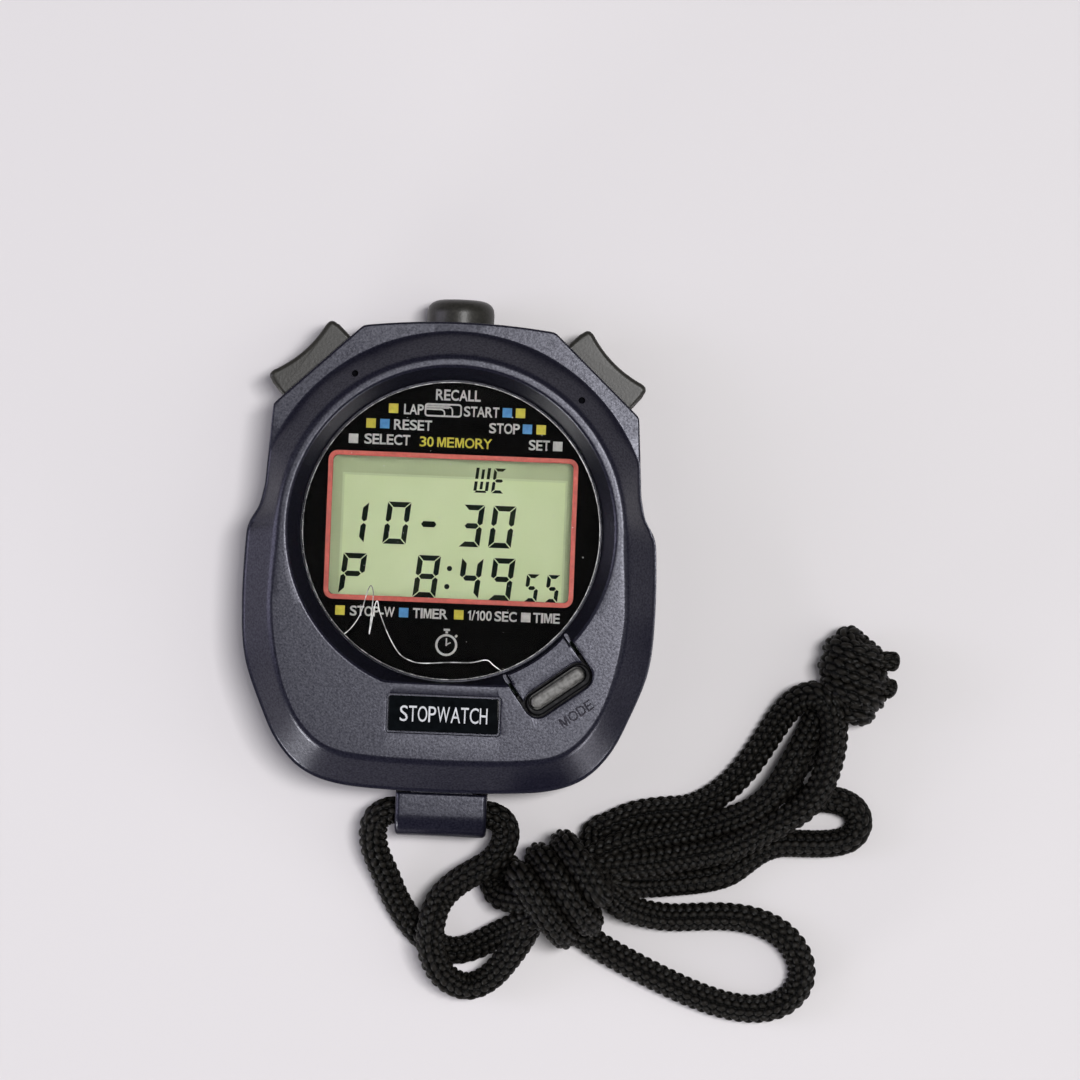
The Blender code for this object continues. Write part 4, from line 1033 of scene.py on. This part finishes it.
def digit_shapes(symbol, x, y, width, tall, stroke, lean=0.105, gap=0.11):
    """The lit segments of one leaning seven-segment digit about its middle."""
    half_w, half_h = (width - tall * lean) / 2, tall / 2
    s = stroke
    left, right, top, mid = -half_w, half_w, half_h, 0.0
    shapes = {
        "a": [(left + gap, top), (right - gap, top), (right - s - gap, top - s), (left + s + gap, top - s)],
        "d": [(left + gap, -top), (right - gap, -top), (right - s - gap, s - top), (left + s + gap, s - top)],
        "g": [
            (left + s * 0.55 + gap, mid),
            (left + s + gap, mid + s / 2),
            (right - s - gap, mid + s / 2),
            (right - s * 0.55 - gap, mid),
            (right - s - gap, mid - s / 2),
            (left + s + gap, mid - s / 2),
        ],
    }
    upper = [
        (right, top - gap),
        (right, mid + s * 0.35 + gap),
        (right - s * 0.5, mid + gap),
        (right - s, mid + s / 2 + gap),
        (right - s, top - s - gap),
    ]
    shapes["b"] = upper
    shapes["c"] = [(a, -b) for a, b in upper]
    shapes["f"] = [(-a, b) for a, b in upper]
    shapes["e"] = [(-a, -b) for a, b in upper]
    if symbol == "W":
        shapes = {}
        for k, (column, wide) in enumerate(((left + s * 0.5, s), (0.0, s * 0.9), (right - s * 0.5, s))):
            for sign in (1, -1):
                near, far = (0.2, top) if sign > 0 else (0.2, top - s * 0.6)
                if k == 1:
                    far -= 0.25
                edges = ((-wide / 2, near), (wide / 2, near), (wide / 2, far), (-wide / 2, far))
                shapes[f"{k}{sign}"] = [(column + dx, sign * y_at) for dx, y_at in edges]
        level = s * 0.7 - top
        shapes["foot"] = [
            (left + 0.2, -top),
            (right - 0.2, -top),
            (right - s * 0.9, level),
            (left + s * 0.9, level),
        ]
        lit = list(shapes)
    else:
        lit = SEGMENTS[symbol]
    if symbol == "1":
        shapes = {k: [(a - right + s / 2, b) for a, b in v] for k, v in shapes.items()}
    if symbol == "-":
        tip, shoulder = width / 2, width / 2 - 0.35
        upper_side = [(-tip, 0), (-shoulder, half_h), (shoulder, half_h)]
        shapes["g"] = upper_side + [(-a, -b) for a, b in upper_side]
        lean = 0.0
    return [[(x + a + b * lean, y + b) for a, b in shapes[key]] for key in lit]


# Rows of digits: the height of a row on the dial, the height and stroke of its digits, and each
# digit's middle and width.
DIGIT_ROWS = [
    (8.3, 4.0, 0.5, [("W", 4.55, 2.75), ("E", 7.25, 2.45)]),
    (0.85, 6.6, 0.85, [("1", -14.1, 1.6)]),
    (0.95, 6.75, 0.85, [("0", -8.8, 4.45), ("3", 3.15, 4.1), ("0", 8.05, 4.35)]),
    (0.95, 0.95, 0.85, [("-", -3.7, 2.45)]),
    (-7.4, 6.55, 0.85, [("P", -15.55, 4.45), ("4", 3.25, 4.1)]),
    (-7.4, 6.75, 0.85, [("8", -3.7, 4.35), ("9", 8.3, 4.25)]),
    (-8.6, 4.45, 0.62, [("5", 13.15, 2.55), ("5", 16.45, 2.55)]),
]
COLON = [(-0.1, -6.0), (-0.42, -8.9)]


# The torn lower edge of the clear film that protects the window.
FILM_EDGE = [
    (-16.4, -17.1), (-15.2, -15.9), (-13.9, -13.7), (-12.95, -10.2), (-12.4, -9.2), (-12.0, -10.4),
    (-12.15, -13.4), (-12.4, -16.9), (-12.1, -15.2), (-11.75, -12.7), (-11.3, -11.6), (-10.8, -13.5),
    (-9.3, -17.0), (-7.5, -19.8), (-5.6, -20.9), (-3.6, -21.2), (0.6, -20.9), (4.0, -20.8),
    (6.4, -20.3), (7.6, -21.1), (8.8, -21.9),
]


def make_display():
    mask_paint = material("dial_black", (0.003, 0.003, 0.0025), 0.5, Specular_IOR_Level=0.0)
    mottle = noise(mask_paint, 700.0, 2.0)
    vary(mask_paint, "Base Color", mottle, (0.0018, 0.0018, 0.0015), (0.0035, 0.0033, 0.003))
    edge = circle(MASK_RADIUS, segments=160)
    disc = on_dial(slab("dial_sheet", edge, 15.1, MASK_TOP, mask_paint, sharp=30.0))
    window = rounded_box(*WINDOW, 0.9, (-0.1, WINDOW_Y), steps=8)
    carved(disc, removed=[on_dial(prism("window", window, 14.0, 16.5))])
    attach(disc, "case")
    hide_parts("dial_mask")
    inks = {
        "white": material("ink_white", (0.62, 0.61, 0.58), 0.5),
        "yellow": material("ink_yellow", (0.62, 0.5, 0.015), 0.5),
        "blue": material("ink_blue", (0.02, 0.19, 0.5), 0.5),
        "red": material("ink_red", (0.62, 0.085, 0.05), 0.45),
    }
    for colour, low, high in (
        ("white", (0.44, 0.44, 0.42), (0.58, 0.57, 0.54)),
        ("yellow", (0.50, 0.43, 0.008), (0.62, 0.53, 0.016)),
        ("blue", (0.018, 0.17, 0.42), (0.035, 0.24, 0.52)),
        ("red", (0.42, 0.046, 0.024), (0.55, 0.064, 0.035)),
    ):
        vary(inks[colour], "Base Color", noise(inks[colour], 1500.0), low, high)
    prints = [
        lettering("print_white_words", WHITE_ROWS, PRINT_FOOT, inks["white"]),
        lettering("print_yellow_words", YELLOW_ROWS, PRINT_FOOT, inks["yellow"], 0.012),
    ]
    half = SQUARE_SIZE / 2
    corners = [(-half, -half), (half, -half), (half, half), (-half, half)]
    for colour, rows in SQUARE_ROWS.items():
        shapes = [[(x + dx, y + dy) for dx, dy in corners] for y, row in rows for x in row]
        prints.append(flat_print(f"print_{colour}_squares", shapes, PRINT_FOOT, inks[colour]))
    red_frame = (39.85, 23.75, 1.5, 0.76, (-0.1, WINDOW_Y), PRINT_FOOT, PRINT_HEAD)
    prints.append(frame_line("print_red_frame", *red_frame, inks["red"], "mask"))
    prints += make_icons(inks["white"])
    for piece in prints:
        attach(on_dial(piece), "case")

    glass = material("lcd_glass", (0.68, 0.79, 0.46), 0.4, Specular_IOR_Level=0.05)
    vary(glass, "Base Color", noise(glass, 120.0, 3.0), (0.67, 0.78, 0.44), (0.72, 0.82, 0.49))
    frame["nodes"]["lcd_panel"].data.materials.clear()
    frame["nodes"]["lcd_panel"].data.materials.append(glass)
    dark = material("lcd_segment", (0.006, 0.014, 0.008), 0.6, Specular_IOR_Level=0.05)
    vary(dark, "Base Color", noise(dark, 260.0), (0.004, 0.012, 0.008), (0.02, 0.024, 0.008), 0.4, 0.75)
    shapes = []
    for y, tall, stroke, row in DIGIT_ROWS:
        for symbol, x, width in row:
            shapes += digit_shapes(symbol, x, y, width, tall, stroke)
    shapes += [circle(0.42, centre, 20) for centre in COLON]
    digits = on_dial(flat_print("lcd_digits", shapes, LCD_TOP + 0.03, dark))
    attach(digits, "case")
    # Painted shadow: two stepped, darker green bands on the LCD along the top and sides of the window, where
    # the window's edge shades it.
    for step, (inset, light) in enumerate(((0.0, 0.7), (0.35, 0.86))):
        colour, low, high = (tuple(c * light * k for c in (0.69, 0.8, 0.465)) for k in (1.0, 0.96, 1.04))
        shade = material(f"lcd_border_{step}", colour, 0.5, Specular_IOR_Level=0.05)
        vary(shade, "Base Color", noise(shade, 120.0, 3.0), low, high)
        left, right, top = -17.75 + inset, 18.25 - inset, 8.75 - inset
        side, foot, head = 19.3, -11.0, 11.7
        arch = [(-side, foot), (-side, head), (side, head), (side, foot)]
        arch += [(right, foot), (right, top), (left, top), (left, foot)]
        height = LCD_TOP + 0.018 - 0.009 * step
        painted_shadow = flat_print(f"lcd_border_{step}", [arch], height, shade, thick=0.006)
        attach(on_dial(painted_shadow), "case")

    lens_paint = material("lens_clear", (1.0, 1.0, 1.0), 0.0, Transmission_Weight=1.0, IOR=1.2)
    radius, low, high = 23.8, 15.8, LENS_TOP
    profile = [(0, low)] + [(r, low) for r in (8.0, 16.0, radius - 0.2)] + [(radius, low + 0.2)]
    profile += arc_to((radius, high - 0.2), (radius, high), (radius - 0.2, high), 4)
    profile += [(16.0, high), (8.0, high), (0, high)]
    lens = on_dial(turned("window_lens", profile, lens_paint, segments=180, sharp=50.0))
    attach(evened(lens), "case")
    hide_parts("lens")
    # Painted highlight: a thin bright ring, broken up by noise, on the lens's top edge stands for light
    # glinting on the rim.
    rim_highlight_paint = material("lens_rim_glint", (0.4, 0.4, 0.4), 0.25)
    glint = noise(rim_highlight_paint, 700.0, 3.0)
    vary(rim_highlight_paint, "Base Color", glint, (0.01, 0.01, 0.01), (0.42, 0.42, 0.42), 0.45, 0.72)
    outer, inner = circle(23.72, segments=240), circle(23.6, segments=240)
    rim = on_dial(band("lens_rim", outer, inner, ON_LENS, ON_LENS + 0.025, rim_highlight_paint))
    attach(rim, "case")
    dust_paint = material("lens_dust", (0.7, 0.7, 0.68), 0.6)
    vary(dust_paint, "Base Color", noise(dust_paint, 900.0), (0.35, 0.35, 0.34), (0.8, 0.8, 0.78))
    scatter = random.Random(11)
    specks = []
    for _ in range(46):
        reach, turn = 23.0 * math.sqrt(scatter.random()), scatter.uniform(0.0, 2 * math.pi)
        size = scatter.choice((0.04, 0.05, 0.05, 0.07, 0.1))
        specks.append(circle(size, (reach * math.cos(turn), reach * math.sin(turn)), 7))
    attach(on_dial(flat_print("lens_dust", specks, ON_LENS, dust_paint)), "case")
    # The film's torn edge is real; its pale colour along the line is a painted highlight where the edge
    # catches the light.
    film = material("film_edge_glint", (0.75, 0.75, 0.73), 0.2)
    vary(film, "Base Color", noise(film, 500.0, 2.0), (0.15, 0.15, 0.15), (0.9, 0.9, 0.88), 0.35, 0.6)
    strip = flat_print("film_edge_glint", [stroked(flat_curve(FILM_EDGE, 6), 0.13)], ON_LENS, film)
    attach(on_dial(strip), "case")


def make_icons(ink):
    """A small round-cornered case symbol between two words, and a plain stopwatch symbol."""
    pieces = []
    low, high = PRINT_FOOT, PRINT_HEAD
    tabs_frame = (5.94, 2.13, 0.55, 0.26, (-2.07, 19.19), low, high)
    pieces.append(frame_line("print_tabs_frame", *tabs_frame, ink, "mask"))
    bends = [
        ([(-4.8, 19.72), (-1.1, 19.72), (-0.82, 19.62), (-0.66, 19.38), (-0.6, 19.1), (-0.6, 18.35)], 0.22),
        ([(-4.8, 19.3), (-2.4, 19.3), (-2.1, 19.2), (-1.92, 19.0), (-1.85, 18.75), (-1.85, 18.35)], 0.22),
        ([(-4.8, 19.93), (-3.0, 19.93), (-1.0, 19.93)], 0.1),
        ([(-4.8, 19.51), (-3.0, 19.51), (-1.15, 19.51)], 0.1),
    ]
    shapes = [stroked(line, width) for line, width in bends]
    pieces.append(flat_print("print_tabs", shapes, PRINT_FOOT, ink))
    centre = (-0.1, -18.2)
    outer, inner = circle(1.75, centre, 48), circle(1.4, centre, 48)
    pieces.append(band("print_timer_ring", outer, inner, low, high, ink))
    x, y = centre
    hands = [
        [(x - 0.13, y - 0.13), (x + 0.13, y - 0.13), (x + 0.1, y + 1.1), (x - 0.1, y + 1.1)],
        [(x - 0.1, y - 0.1), (x + 0.75, y + 0.35), (x + 0.65, y + 0.5), (x - 0.13, y + 0.13)],
        [(x - 0.5, y + 2.25), (x + 0.5, y + 2.25), (x + 0.5, y + 2.6), (x - 0.5, y + 2.6)],
        [(x - 0.2, y + 1.85), (x + 0.2, y + 1.85), (x + 0.2, y + 2.2), (x - 0.2, y + 2.2)],
        [(x + 1.25, y + 1.45), (x + 1.5, y + 1.2), (x + 1.8, y + 1.5), (x + 1.55, y + 1.75)],
    ]
    pieces.append(flat_print("print_timer_hands", hands, PRINT_FOOT, ink))
    return pieces


def make_name_plate():
    black = material("plate_gloss", (0.002, 0.003, 0.004), 0.08, Specular_IOR_Level=0.06)
    vary(black, "Base Color", noise(black, 900.0), (0.0015, 0.002, 0.0025), (0.003, 0.004, 0.005))
    edge = rounded_box(*PLATE, 0.4, (0.0, PLATE_Y), steps=5)
    plate = slab("plate", edge, 18.9, FACE_Z, black, top=0.12)
    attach(on_dial(evened(plate)), "case")
    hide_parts("name_plate")
    silver = material("ink_silver", (0.5, 0.51, 0.53), 0.5, Specular_IOR_Level=0.3)
    vary(silver, "Base Color", noise(silver, 1500.0), (0.42, 0.43, 0.45), (0.56, 0.57, 0.6))
    title = [(PLATE_Y, 2.5, [("STOPWATCH", 0.0, 13.9)])]
    words = lettering("plate_words", title, FACE_Z, silver, 0.0)
    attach(on_dial(words), "case")
    dark = material("ink_dark", (0.03, 0.028, 0.036), 0.7, Specular_IOR_Level=0.05)
    vary(dark, "Base Color", noise(dark, 1500.0), (0.022, 0.021, 0.028), (0.04, 0.038, 0.048))
    mode = lettering("mode_word", [(0.0, 1.65, [("MODE", 0.0, 5.9)])], FACE_Z, dark, 0.014)
    x, y = polar(MODE_WORD_RADIUS, KEY_ANGLE)
    moved(mode, (x + 0.3, y, 0.0), KEY_ANGLE + 90.0)
    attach(mode, "case")


def dress_internals():
    """Gives each CAD node that stays its own procedural finish."""
    steel = material("steel", (0.55, 0.55, 0.56), 0.28, 1.0)
    vary(steel, "Roughness", noise(steel, 1500.0, 3.0), 0.2, 0.4)
    brass = material("brass", (0.72, 0.52, 0.25), 0.3, 1.0)
    vary(brass, "Roughness", noise(brass, 1200.0, 3.0), 0.22, 0.42)
    white = material("white_plastic", (0.7, 0.7, 0.66), 0.5)
    vary(white, "Roughness", noise(white, 800.0), 0.42, 0.6)
    green = material("board_green", (0.03, 0.16, 0.06), 0.35)
    vary(green, "Base Color", noise(green, 600.0, 3.0), (0.02, 0.12, 0.045), (0.05, 0.2, 0.08))
    epoxy = material("epoxy", (0.01, 0.01, 0.012), 0.3)
    vary(epoxy, "Roughness", noise(epoxy, 900.0), 0.2, 0.45)
    rubber = material("strip_rubber", (0.05, 0.05, 0.055), 0.7)
    stripes = noise(rubber, 1.0, 0.0, "Object", (9000.0, 1.0, 1.0))
    vary(rubber, "Base Color", stripes, (0.02, 0.02, 0.02), (0.4, 0.25, 0.25))
    finishes = {
        "steel": steel,
        "brass": brass,
        "white_plastic": white,
        "board": green,
        "epoxy": epoxy,
        "rubber_strip": rubber,
    }
    slots = {s["node"]: s["material_slot"] for s in frame["record"]["subparts"]}
    for name, node in frame["nodes"].items():
        if not node.hide_render and slots[name] in finishes:
            node.data.materials.clear()
            node.data.materials.append(finishes[slots[name]])


def make_watch():
    paint = case_paint()
    back = material("back_plastic", (0.012, 0.012, 0.014), 0.5)
    vary(back, "Base Color", noise(back, 2500.0), (0.008, 0.008, 0.01), (0.02, 0.02, 0.023))
    bump(back, noise(back, 2600.0, 2.0), 0.5, 0.05)
    button = material("button_plastic", (0.02, 0.0195, 0.0165), 0.36, Specular_IOR_Level=0.26)
    vary(button, "Base Color", noise(button, 2200.0), (0.014, 0.0135, 0.0115), (0.025, 0.0235, 0.020))
    bump(button, noise(button, 3000.0, 2.0), 0.4, 0.04)
    key = material("key_plastic", (0.09, 0.088, 0.082), 0.45, Specular_IOR_Level=0.35)
    vary(key, "Base Color", noise(key, 1800.0), (0.06, 0.058, 0.054), (0.15, 0.147, 0.14))
    bump(key, noise(key, 2500.0), 0.3, 0.04)
    dark = material("key_frame", (0.003, 0.003, 0.004), 0.6, Specular_IOR_Level=0.12)
    vary(dark, "Roughness", noise(dark, 1500.0), 0.4, 0.6)
    make_front_case(paint)
    make_back(back)
    make_buttons(button)
    make_mode_key(key, dark)
    make_bail(paint)
    make_display()
    make_name_plate()
    dress_internals()


# ---------------------------------------------------------------------------
# The cord: its braid and its routes
# ---------------------------------------------------------------------------

CORD_RADIUS = 2.25
PLAIT_LENGTH = 1.47
PLAIT_COLUMNS = 10
PLAIT_HEIGHT = 0.62
ROUND_STEPS = 60
STEPS_TO_A_PLAIT = 8

WRAP_CENTRE = (20.3, -50.9, 8.05)
WRAP_ANGLE = 30.0
WRAP_PATH_RADII = (6.7, 5.75)
WRAP_PITCH = 4.45
KNOT_HEAD = (66.1, -9.4, 5.9)
KNOT_FOOT = (65.1, -20.3, 5.4)
KNOT_RADIUS = 3.4
KNOT_STEPS = 72


def in_wrap(along, across, lift):
    """A point given along and across the wrap from its middle."""
    turn = math.radians(WRAP_ANGLE)
    x = WRAP_CENTRE[0] + along * math.cos(turn) - across * math.sin(turn)
    y = WRAP_CENTRE[1] + along * math.sin(turn) + across * math.cos(turn)
    return (x, y, WRAP_CENTRE[2] + lift)


def core(across, lift, forwards=True):
    """A strand's points through the middle of the wrap."""
    points = [in_wrap(along, across, lift) for along in (-5.0, 0.0, 5.0)]
    return points if forwards else points[::-1]


def winding(first, last, start_along):
    """The turns round the bundle, from one angle to another in degrees; 90 is on top."""
    points = []
    for degrees in range(first, last + 1, 30):
        angle = math.radians(degrees)
        along = start_along + WRAP_PITCH * (degrees - 90) / 360
        across, lift = WRAP_PATH_RADII[0] * math.cos(angle), WRAP_PATH_RADII[1] * math.sin(angle)
        points.append(in_wrap(along, across, lift))
    return points


LEFT_LEAD = [
    (-0.2, -39.4, 7.3),
    (-4.0, -39.4, 7.3),
    (-8.4, -39.4, 7.3),
    (-10.7, -41.4, 6.8),
    (-10.6, -45.6, 5.3),
    (-8.6, -50.0, 3.6),
    (-6.8, -54.0, 2.5),
    (-4.2, -57.8, 2.3),
    (-1.2, -60.6, 2.3),
    (2.4, -62.0, 2.3),
    (6.0, -61.2, 2.5),
    (9.6, -59.2, 3.7),
    (12.8, -57.4, 6.0),
]
UPPER_AND_LOWER_LOOP = [
    (29.3, -53.2, 6.0),
    (33.2, -54.6, 3.4),
    (37.6, -55.2, 2.4),
    (42.4, -54.9, 2.3),
    (46.8, -54.7, 2.3),
    (51.3, -55.2, 2.3),
    (55.3, -56.8, 2.3),
    (58.1, -59.5, 2.3),
    (59.4, -62.8, 2.3),
    (58.7, -66.1, 2.3),
    (56.1, -68.5, 2.3),
    (52.3, -69.5, 2.3),
    (47.4, -69.1, 2.3),
    (42.0, -67.5, 2.3),
    (36.6, -65.3, 2.3),
    (31.2, -62.8, 2.3),
    (26.5, -60.4, 2.3),
    (22.4, -57.6, 2.3),
    (17.6, -52.6, 2.3),
]
ARC_AND_THIRD_STRAND = [
    (24.4, -42.8, 3.2),
    (27.4, -40.6, 2.9),
    (31.1, -38.8, 2.6),
    (35.6, -37.9, 2.4),
    (40.8, -37.2, 2.3),
    (46.0, -33.9, 2.3),
    (49.6, -29.7, 2.3),
    (52.3, -25.4, 2.4),
    (54.6, -21.6, 3.2),
    (57.1, -18.8, 5.0),
    (59.9, -18.0, 6.6),
    (61.9, -19.6, 7.2),
    (62.7, -22.4, 7.0),
    (62.8, -25.6, 6.8),
    (62.2, -29.2, 6.8),
    (60.9, -33.0, 6.8),
    (58.4, -36.4, 6.8),
    (54.9, -38.8, 6.8),
    (50.9, -41.2, 6.4),
    (46.4, -43.6, 4.9),
    (41.1, -44.9, 4.2),
    (35.4, -46.1, 5.2),
    (30.6, -46.8, 7.4),
]
LEFT_TURN = [
    (12.6, -53.0, 7.4),
    (10.0, -52.6, 5.0),
    (8.7, -50.2, 4.0),
    (9.8, -47.9, 4.6),
    (12.4, -48.6, 6.4),
]
MIDDLE_STRAND = [
    (28.3, -44.0, 6.6),
    (32.4, -42.7, 4.6),
    (37.5, -41.6, 3.3),
    (42.7, -40.3, 3.2),
    (47.5, -38.6, 4.6),
    (51.1, -36.7, 6.0),
    (54.3, -33.2, 6.7),
    (57.0, -28.2, 6.4),
    (59.4, -23.6, 4.2),
    (61.0, -19.4, 2.7),
    (63.6, -16.4, 3.4),
]
RIGHT_LEAD = [
    (0.2, -39.4, 7.3),
    (4.0, -39.4, 7.3),
    (7.9, -39.5, 7.3),
    (10.2, -40.9, 7.2),
    (10.5, -43.6, 7.4),
    (8.8, -46.7, 7.9),
    (6.0, -48.6, 8.0),
    (3.0, -50.6, 7.6),
    (0.4, -53.4, 7.2),
    (-0.8, -57.2, 7.7),
    (-0.8, -61.6, 7.4),
    (1.4, -65.8, 5.6),
    (5.2, -67.6, 3.8),
    (8.8, -66.0, 4.2),
    (11.6, -62.6, 5.6),
    (14.0, -58.8, 7.0),
]
FOLD_AND_SMALL_LOOP = [
    (29.6, -49.9, 6.4),
    (33.6, -49.9, 3.4),
    (37.9, -49.5, 2.4),
    (43.0, -48.8, 2.3),
    (46.8, -47.6, 2.3),
    (49.4, -45.6, 2.3),
    (51.9, -43.7, 2.3),
    (55.0, -42.5, 2.3),
    (59.0, -42.4, 2.3),
    (63.2, -42.2, 2.3),
    (66.4, -41.2, 2.3),
    (67.7, -38.9, 2.3),
    (66.9, -36.6, 2.3),
    (64.5, -35.3, 2.3),
    (61.5, -35.0, 2.3),
    (58.3, -35.2, 2.3),
    (56.3, -33.4, 2.3),
    (56.6, -30.8, 2.3),
    (58.6, -28.2, 2.3),
    (61.0, -25.4, 2.3),
    (63.2, -22.2, 2.3),
    (65.0, -18.8, 3.0),
]


def curve_through(points, spacing):
    """Evenly spaced points on a smooth curve through the given ones."""
    fine = np.array(smooth_curve(points, np.linspace(0.0, 1.0, 24, endpoint=False)))
    for _ in range(60):
        fine[1:-1] = (fine[:-2] + 2 * fine[1:-1] + fine[2:]) / 4
    fine[:, 2] = np.maximum(fine[:, 2], CORD_RADIUS + 0.03)
    lengths = np.concatenate([[0.0], np.cumsum(np.linalg.norm(np.diff(fine, axis=0), axis=1))])
    count = max(4, round(lengths[-1] / spacing))
    even = np.linspace(0.0, lengths[-1], count + 1)
    return np.stack([np.interp(even, lengths, fine[:, k]) for k in range(3)], axis=1)


def carried_frames(path):
    """Two directions across the path at each point, carried along without twist."""
    along = np.gradient(path, axis=0)
    along /= np.linalg.norm(along, axis=1)[:, None]
    side = np.cross(along[0], (0.0, 0.0, 1.0))
    side /= np.linalg.norm(side)
    sides = []
    for direction in along:
        side = side - direction * side.dot(direction)
        side /= np.linalg.norm(side)
        sides.append(side)
    sides = np.array(sides)
    return sides, np.cross(along, sides)


def braid_height(column, row):
    """How far a round braid's surface stands out, from 0 to 1: rounded plaits, set like bricks."""
    index = np.floor(column)
    across = (column - index - 0.5) * 2
    odd = index % 2
    phase = row + 0.5 * odd + across * np.where(odd == 0, 0.14, -0.14)
    phase = (phase - np.floor(phase) - 0.5) * 2
    return np.sqrt(np.clip(1 - np.abs(across) ** 2.2 * 0.97 - np.abs(phase) ** 2.2 * 0.97, 0, 1))


def braided_tube(name, route, paint, radius=CORD_RADIUS, plait=PLAIT_LENGTH, blunt=0.75):
    """A braided cord along a route, as a closed mesh with rounded ends. Gives it and its path."""
    path = curve_through(route, plait / STEPS_TO_A_PLAIT)
    across, up = carried_frames(path)
    count = len(path)
    turns = np.linspace(0.0, 2 * np.pi, ROUND_STEPS, endpoint=False)
    rows = np.arange(count)[:, None] / STEPS_TO_A_PLAIT
    columns = (turns / (2 * np.pi) * PLAIT_COLUMNS)[None, :]
    height = braid_height(np.broadcast_to(columns, (count, ROUND_STEPS)), rows)
    size = PLAIT_HEIGHT * radius / CORD_RADIUS
    radii = radius + 0.08 - size + size * height
    from_end = np.minimum(np.arange(count), np.arange(count)[::-1]) * plait / STEPS_TO_A_PLAIT
    closing = np.clip(from_end / blunt, 0.0, 1.0)
    radii = radii * np.sqrt(1 - (1 - closing) ** 2 * 0.96)[:, None]
    ring = across[:, None, :] * np.cos(turns)[None, :, None] + up[:, None, :] * np.sin(turns)[None, :, None]
    points = path[:, None, :] + ring * radii[:, :, None]
    points = points.reshape(-1, 3) * MM
    first = np.arange(count - 1)[:, None] * ROUND_STEPS
    here, there = np.arange(ROUND_STEPS)[None, :], (np.arange(ROUND_STEPS)[None, :] + 1) % ROUND_STEPS
    quads = np.stack(
        [first + here, first + there, first + ROUND_STEPS + there, first + ROUND_STEPS + here], axis=-1
    )
    faces = [tuple(q) for q in quads.reshape(-1, 4).tolist()]
    faces.append(tuple(range(ROUND_STEPS))[::-1])
    faces.append(tuple((count - 1) * ROUND_STEPS + i for i in range(ROUND_STEPS)))
    mesh = bpy.data.meshes.new(name)
    mesh.from_pydata(points.tolist(), [], faces)
    layer = mesh.uv_layers.new(name="along_cord")
    v = (np.arange(count) * plait / STEPS_TO_A_PLAIT)[first // ROUND_STEPS + np.zeros_like(here)]
    u = here + np.zeros_like(first)
    step_v, step_u = plait / STEPS_TO_A_PLAIT, 1.0
    corner_u = np.stack([u, u + step_u, u + step_u, u], axis=-1) * 14.14 / ROUND_STEPS
    corner_v = np.stack([v, v, v + step_v, v + step_v], axis=-1)
    uvs = np.stack([corner_u, corner_v], axis=-1).reshape(-1, 2)
    uvs = np.concatenate([uvs, np.zeros((2 * ROUND_STEPS, 2))])
    layer.data.foreach_set("uv", uvs.ravel())
    # The plait height is stored for the cord material, which paints shade between the plaits from it.
    layer = mesh.attributes.new("plait", "FLOAT_COLOR", "POINT")
    shade = np.ones((count * ROUND_STEPS, 4))
    shade[:, :3] = height.reshape(-1, 1)
    layer.data.foreach_set("color", shade.ravel())
    mesh.shade_smooth()
    mesh.materials.append(paint)
    work = bmesh.new()
    work.from_mesh(mesh)
    bmesh.ops.recalc_face_normals(work, faces=work.faces)
    work.to_mesh(mesh)
    work.free()
    item = added(name, mesh)
    return item, path


def make_lanyard():
    paint = cord_material()
    left = (
        LEFT_LEAD
        + core(-2.2, 0.9)
        + UPPER_AND_LOWER_LOOP
        + winding(30, 840, -4.45)
        + ARC_AND_THIRD_STRAND
        + core(0.6, 1.2, forwards=False)
        + LEFT_TURN
        + core(2.2, -0.5)
        + MIDDLE_STRAND
    )
    right = RIGHT_LEAD + core(-0.9, -1.0) + FOLD_AND_SMALL_LOOP
    knot_route = []
    for i in range(KNOT_STEPS + 1):
        share = i / KNOT_STEPS
        angle = math.radians(40.0 + 1660.0 * share)
        along = float(np.interp(share, (0.0, 0.1, 0.9, 1.0), (0.35, 0.0, 1.0, 0.65)))
        belly = KNOT_RADIUS * math.sqrt(1 - 0.9 * (2 * along - 1) ** 2)
        radius = belly * min(1.0, share / 0.1, (1 - share) / 0.1) + 0.2
        side, lift = radius * math.cos(angle), 0.97 * radius * math.sin(angle)
        x, y, z = (a + (b - a) * along for a, b in zip(KNOT_HEAD, KNOT_FOOT))
        knot_route.append((x + side, y - 0.5 * side, z + lift))
    knot, _ = braided_tube("end_knot", knot_route, paint)
    tips = []
    for word, start, end in (
        ("upper", (68.8, -12.5, 6.2), (73.0, -12.3, 6.0)),
        ("lower", (68.8, -16.2, 5.6), (72.7, -17.0, 5.4)),
    ):
        middle = tuple((a + b) / 2 + c for a, b, c in zip(start, end, (0.0, 0.2, 0.1)))
        tip, _ = braided_tube(f"cord_end_{word}", [start, middle, end], paint, radius=1.6, blunt=0.9)
        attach(tip, "case")
        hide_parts(f"cord_tip_{word}")
        tips.append(tip)
    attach(knot, "case")
    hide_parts("cord_end_knot")
    left_nodes = ("cord_left_lead", "cord_lower_loop", "cord_wrap")
    right_nodes = ("cord_right_lead", "cord_small_loop", "cord_bundle")
    for name, route, exit_mm, nodes, knotted in (
        ("lanyard_left", left, (-7.35, -39.4, 7.3), left_nodes, [knot, tips[0]]),
        ("lanyard_right", right, (7.35, -39.4, 7.3), right_nodes, [tips[1]]),
    ):
        piece, path = braided_tube(name, route, paint)
        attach(piece, "case")
        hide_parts(*nodes)


make_camera()
make_stage()
make_watch()
make_lanyard()
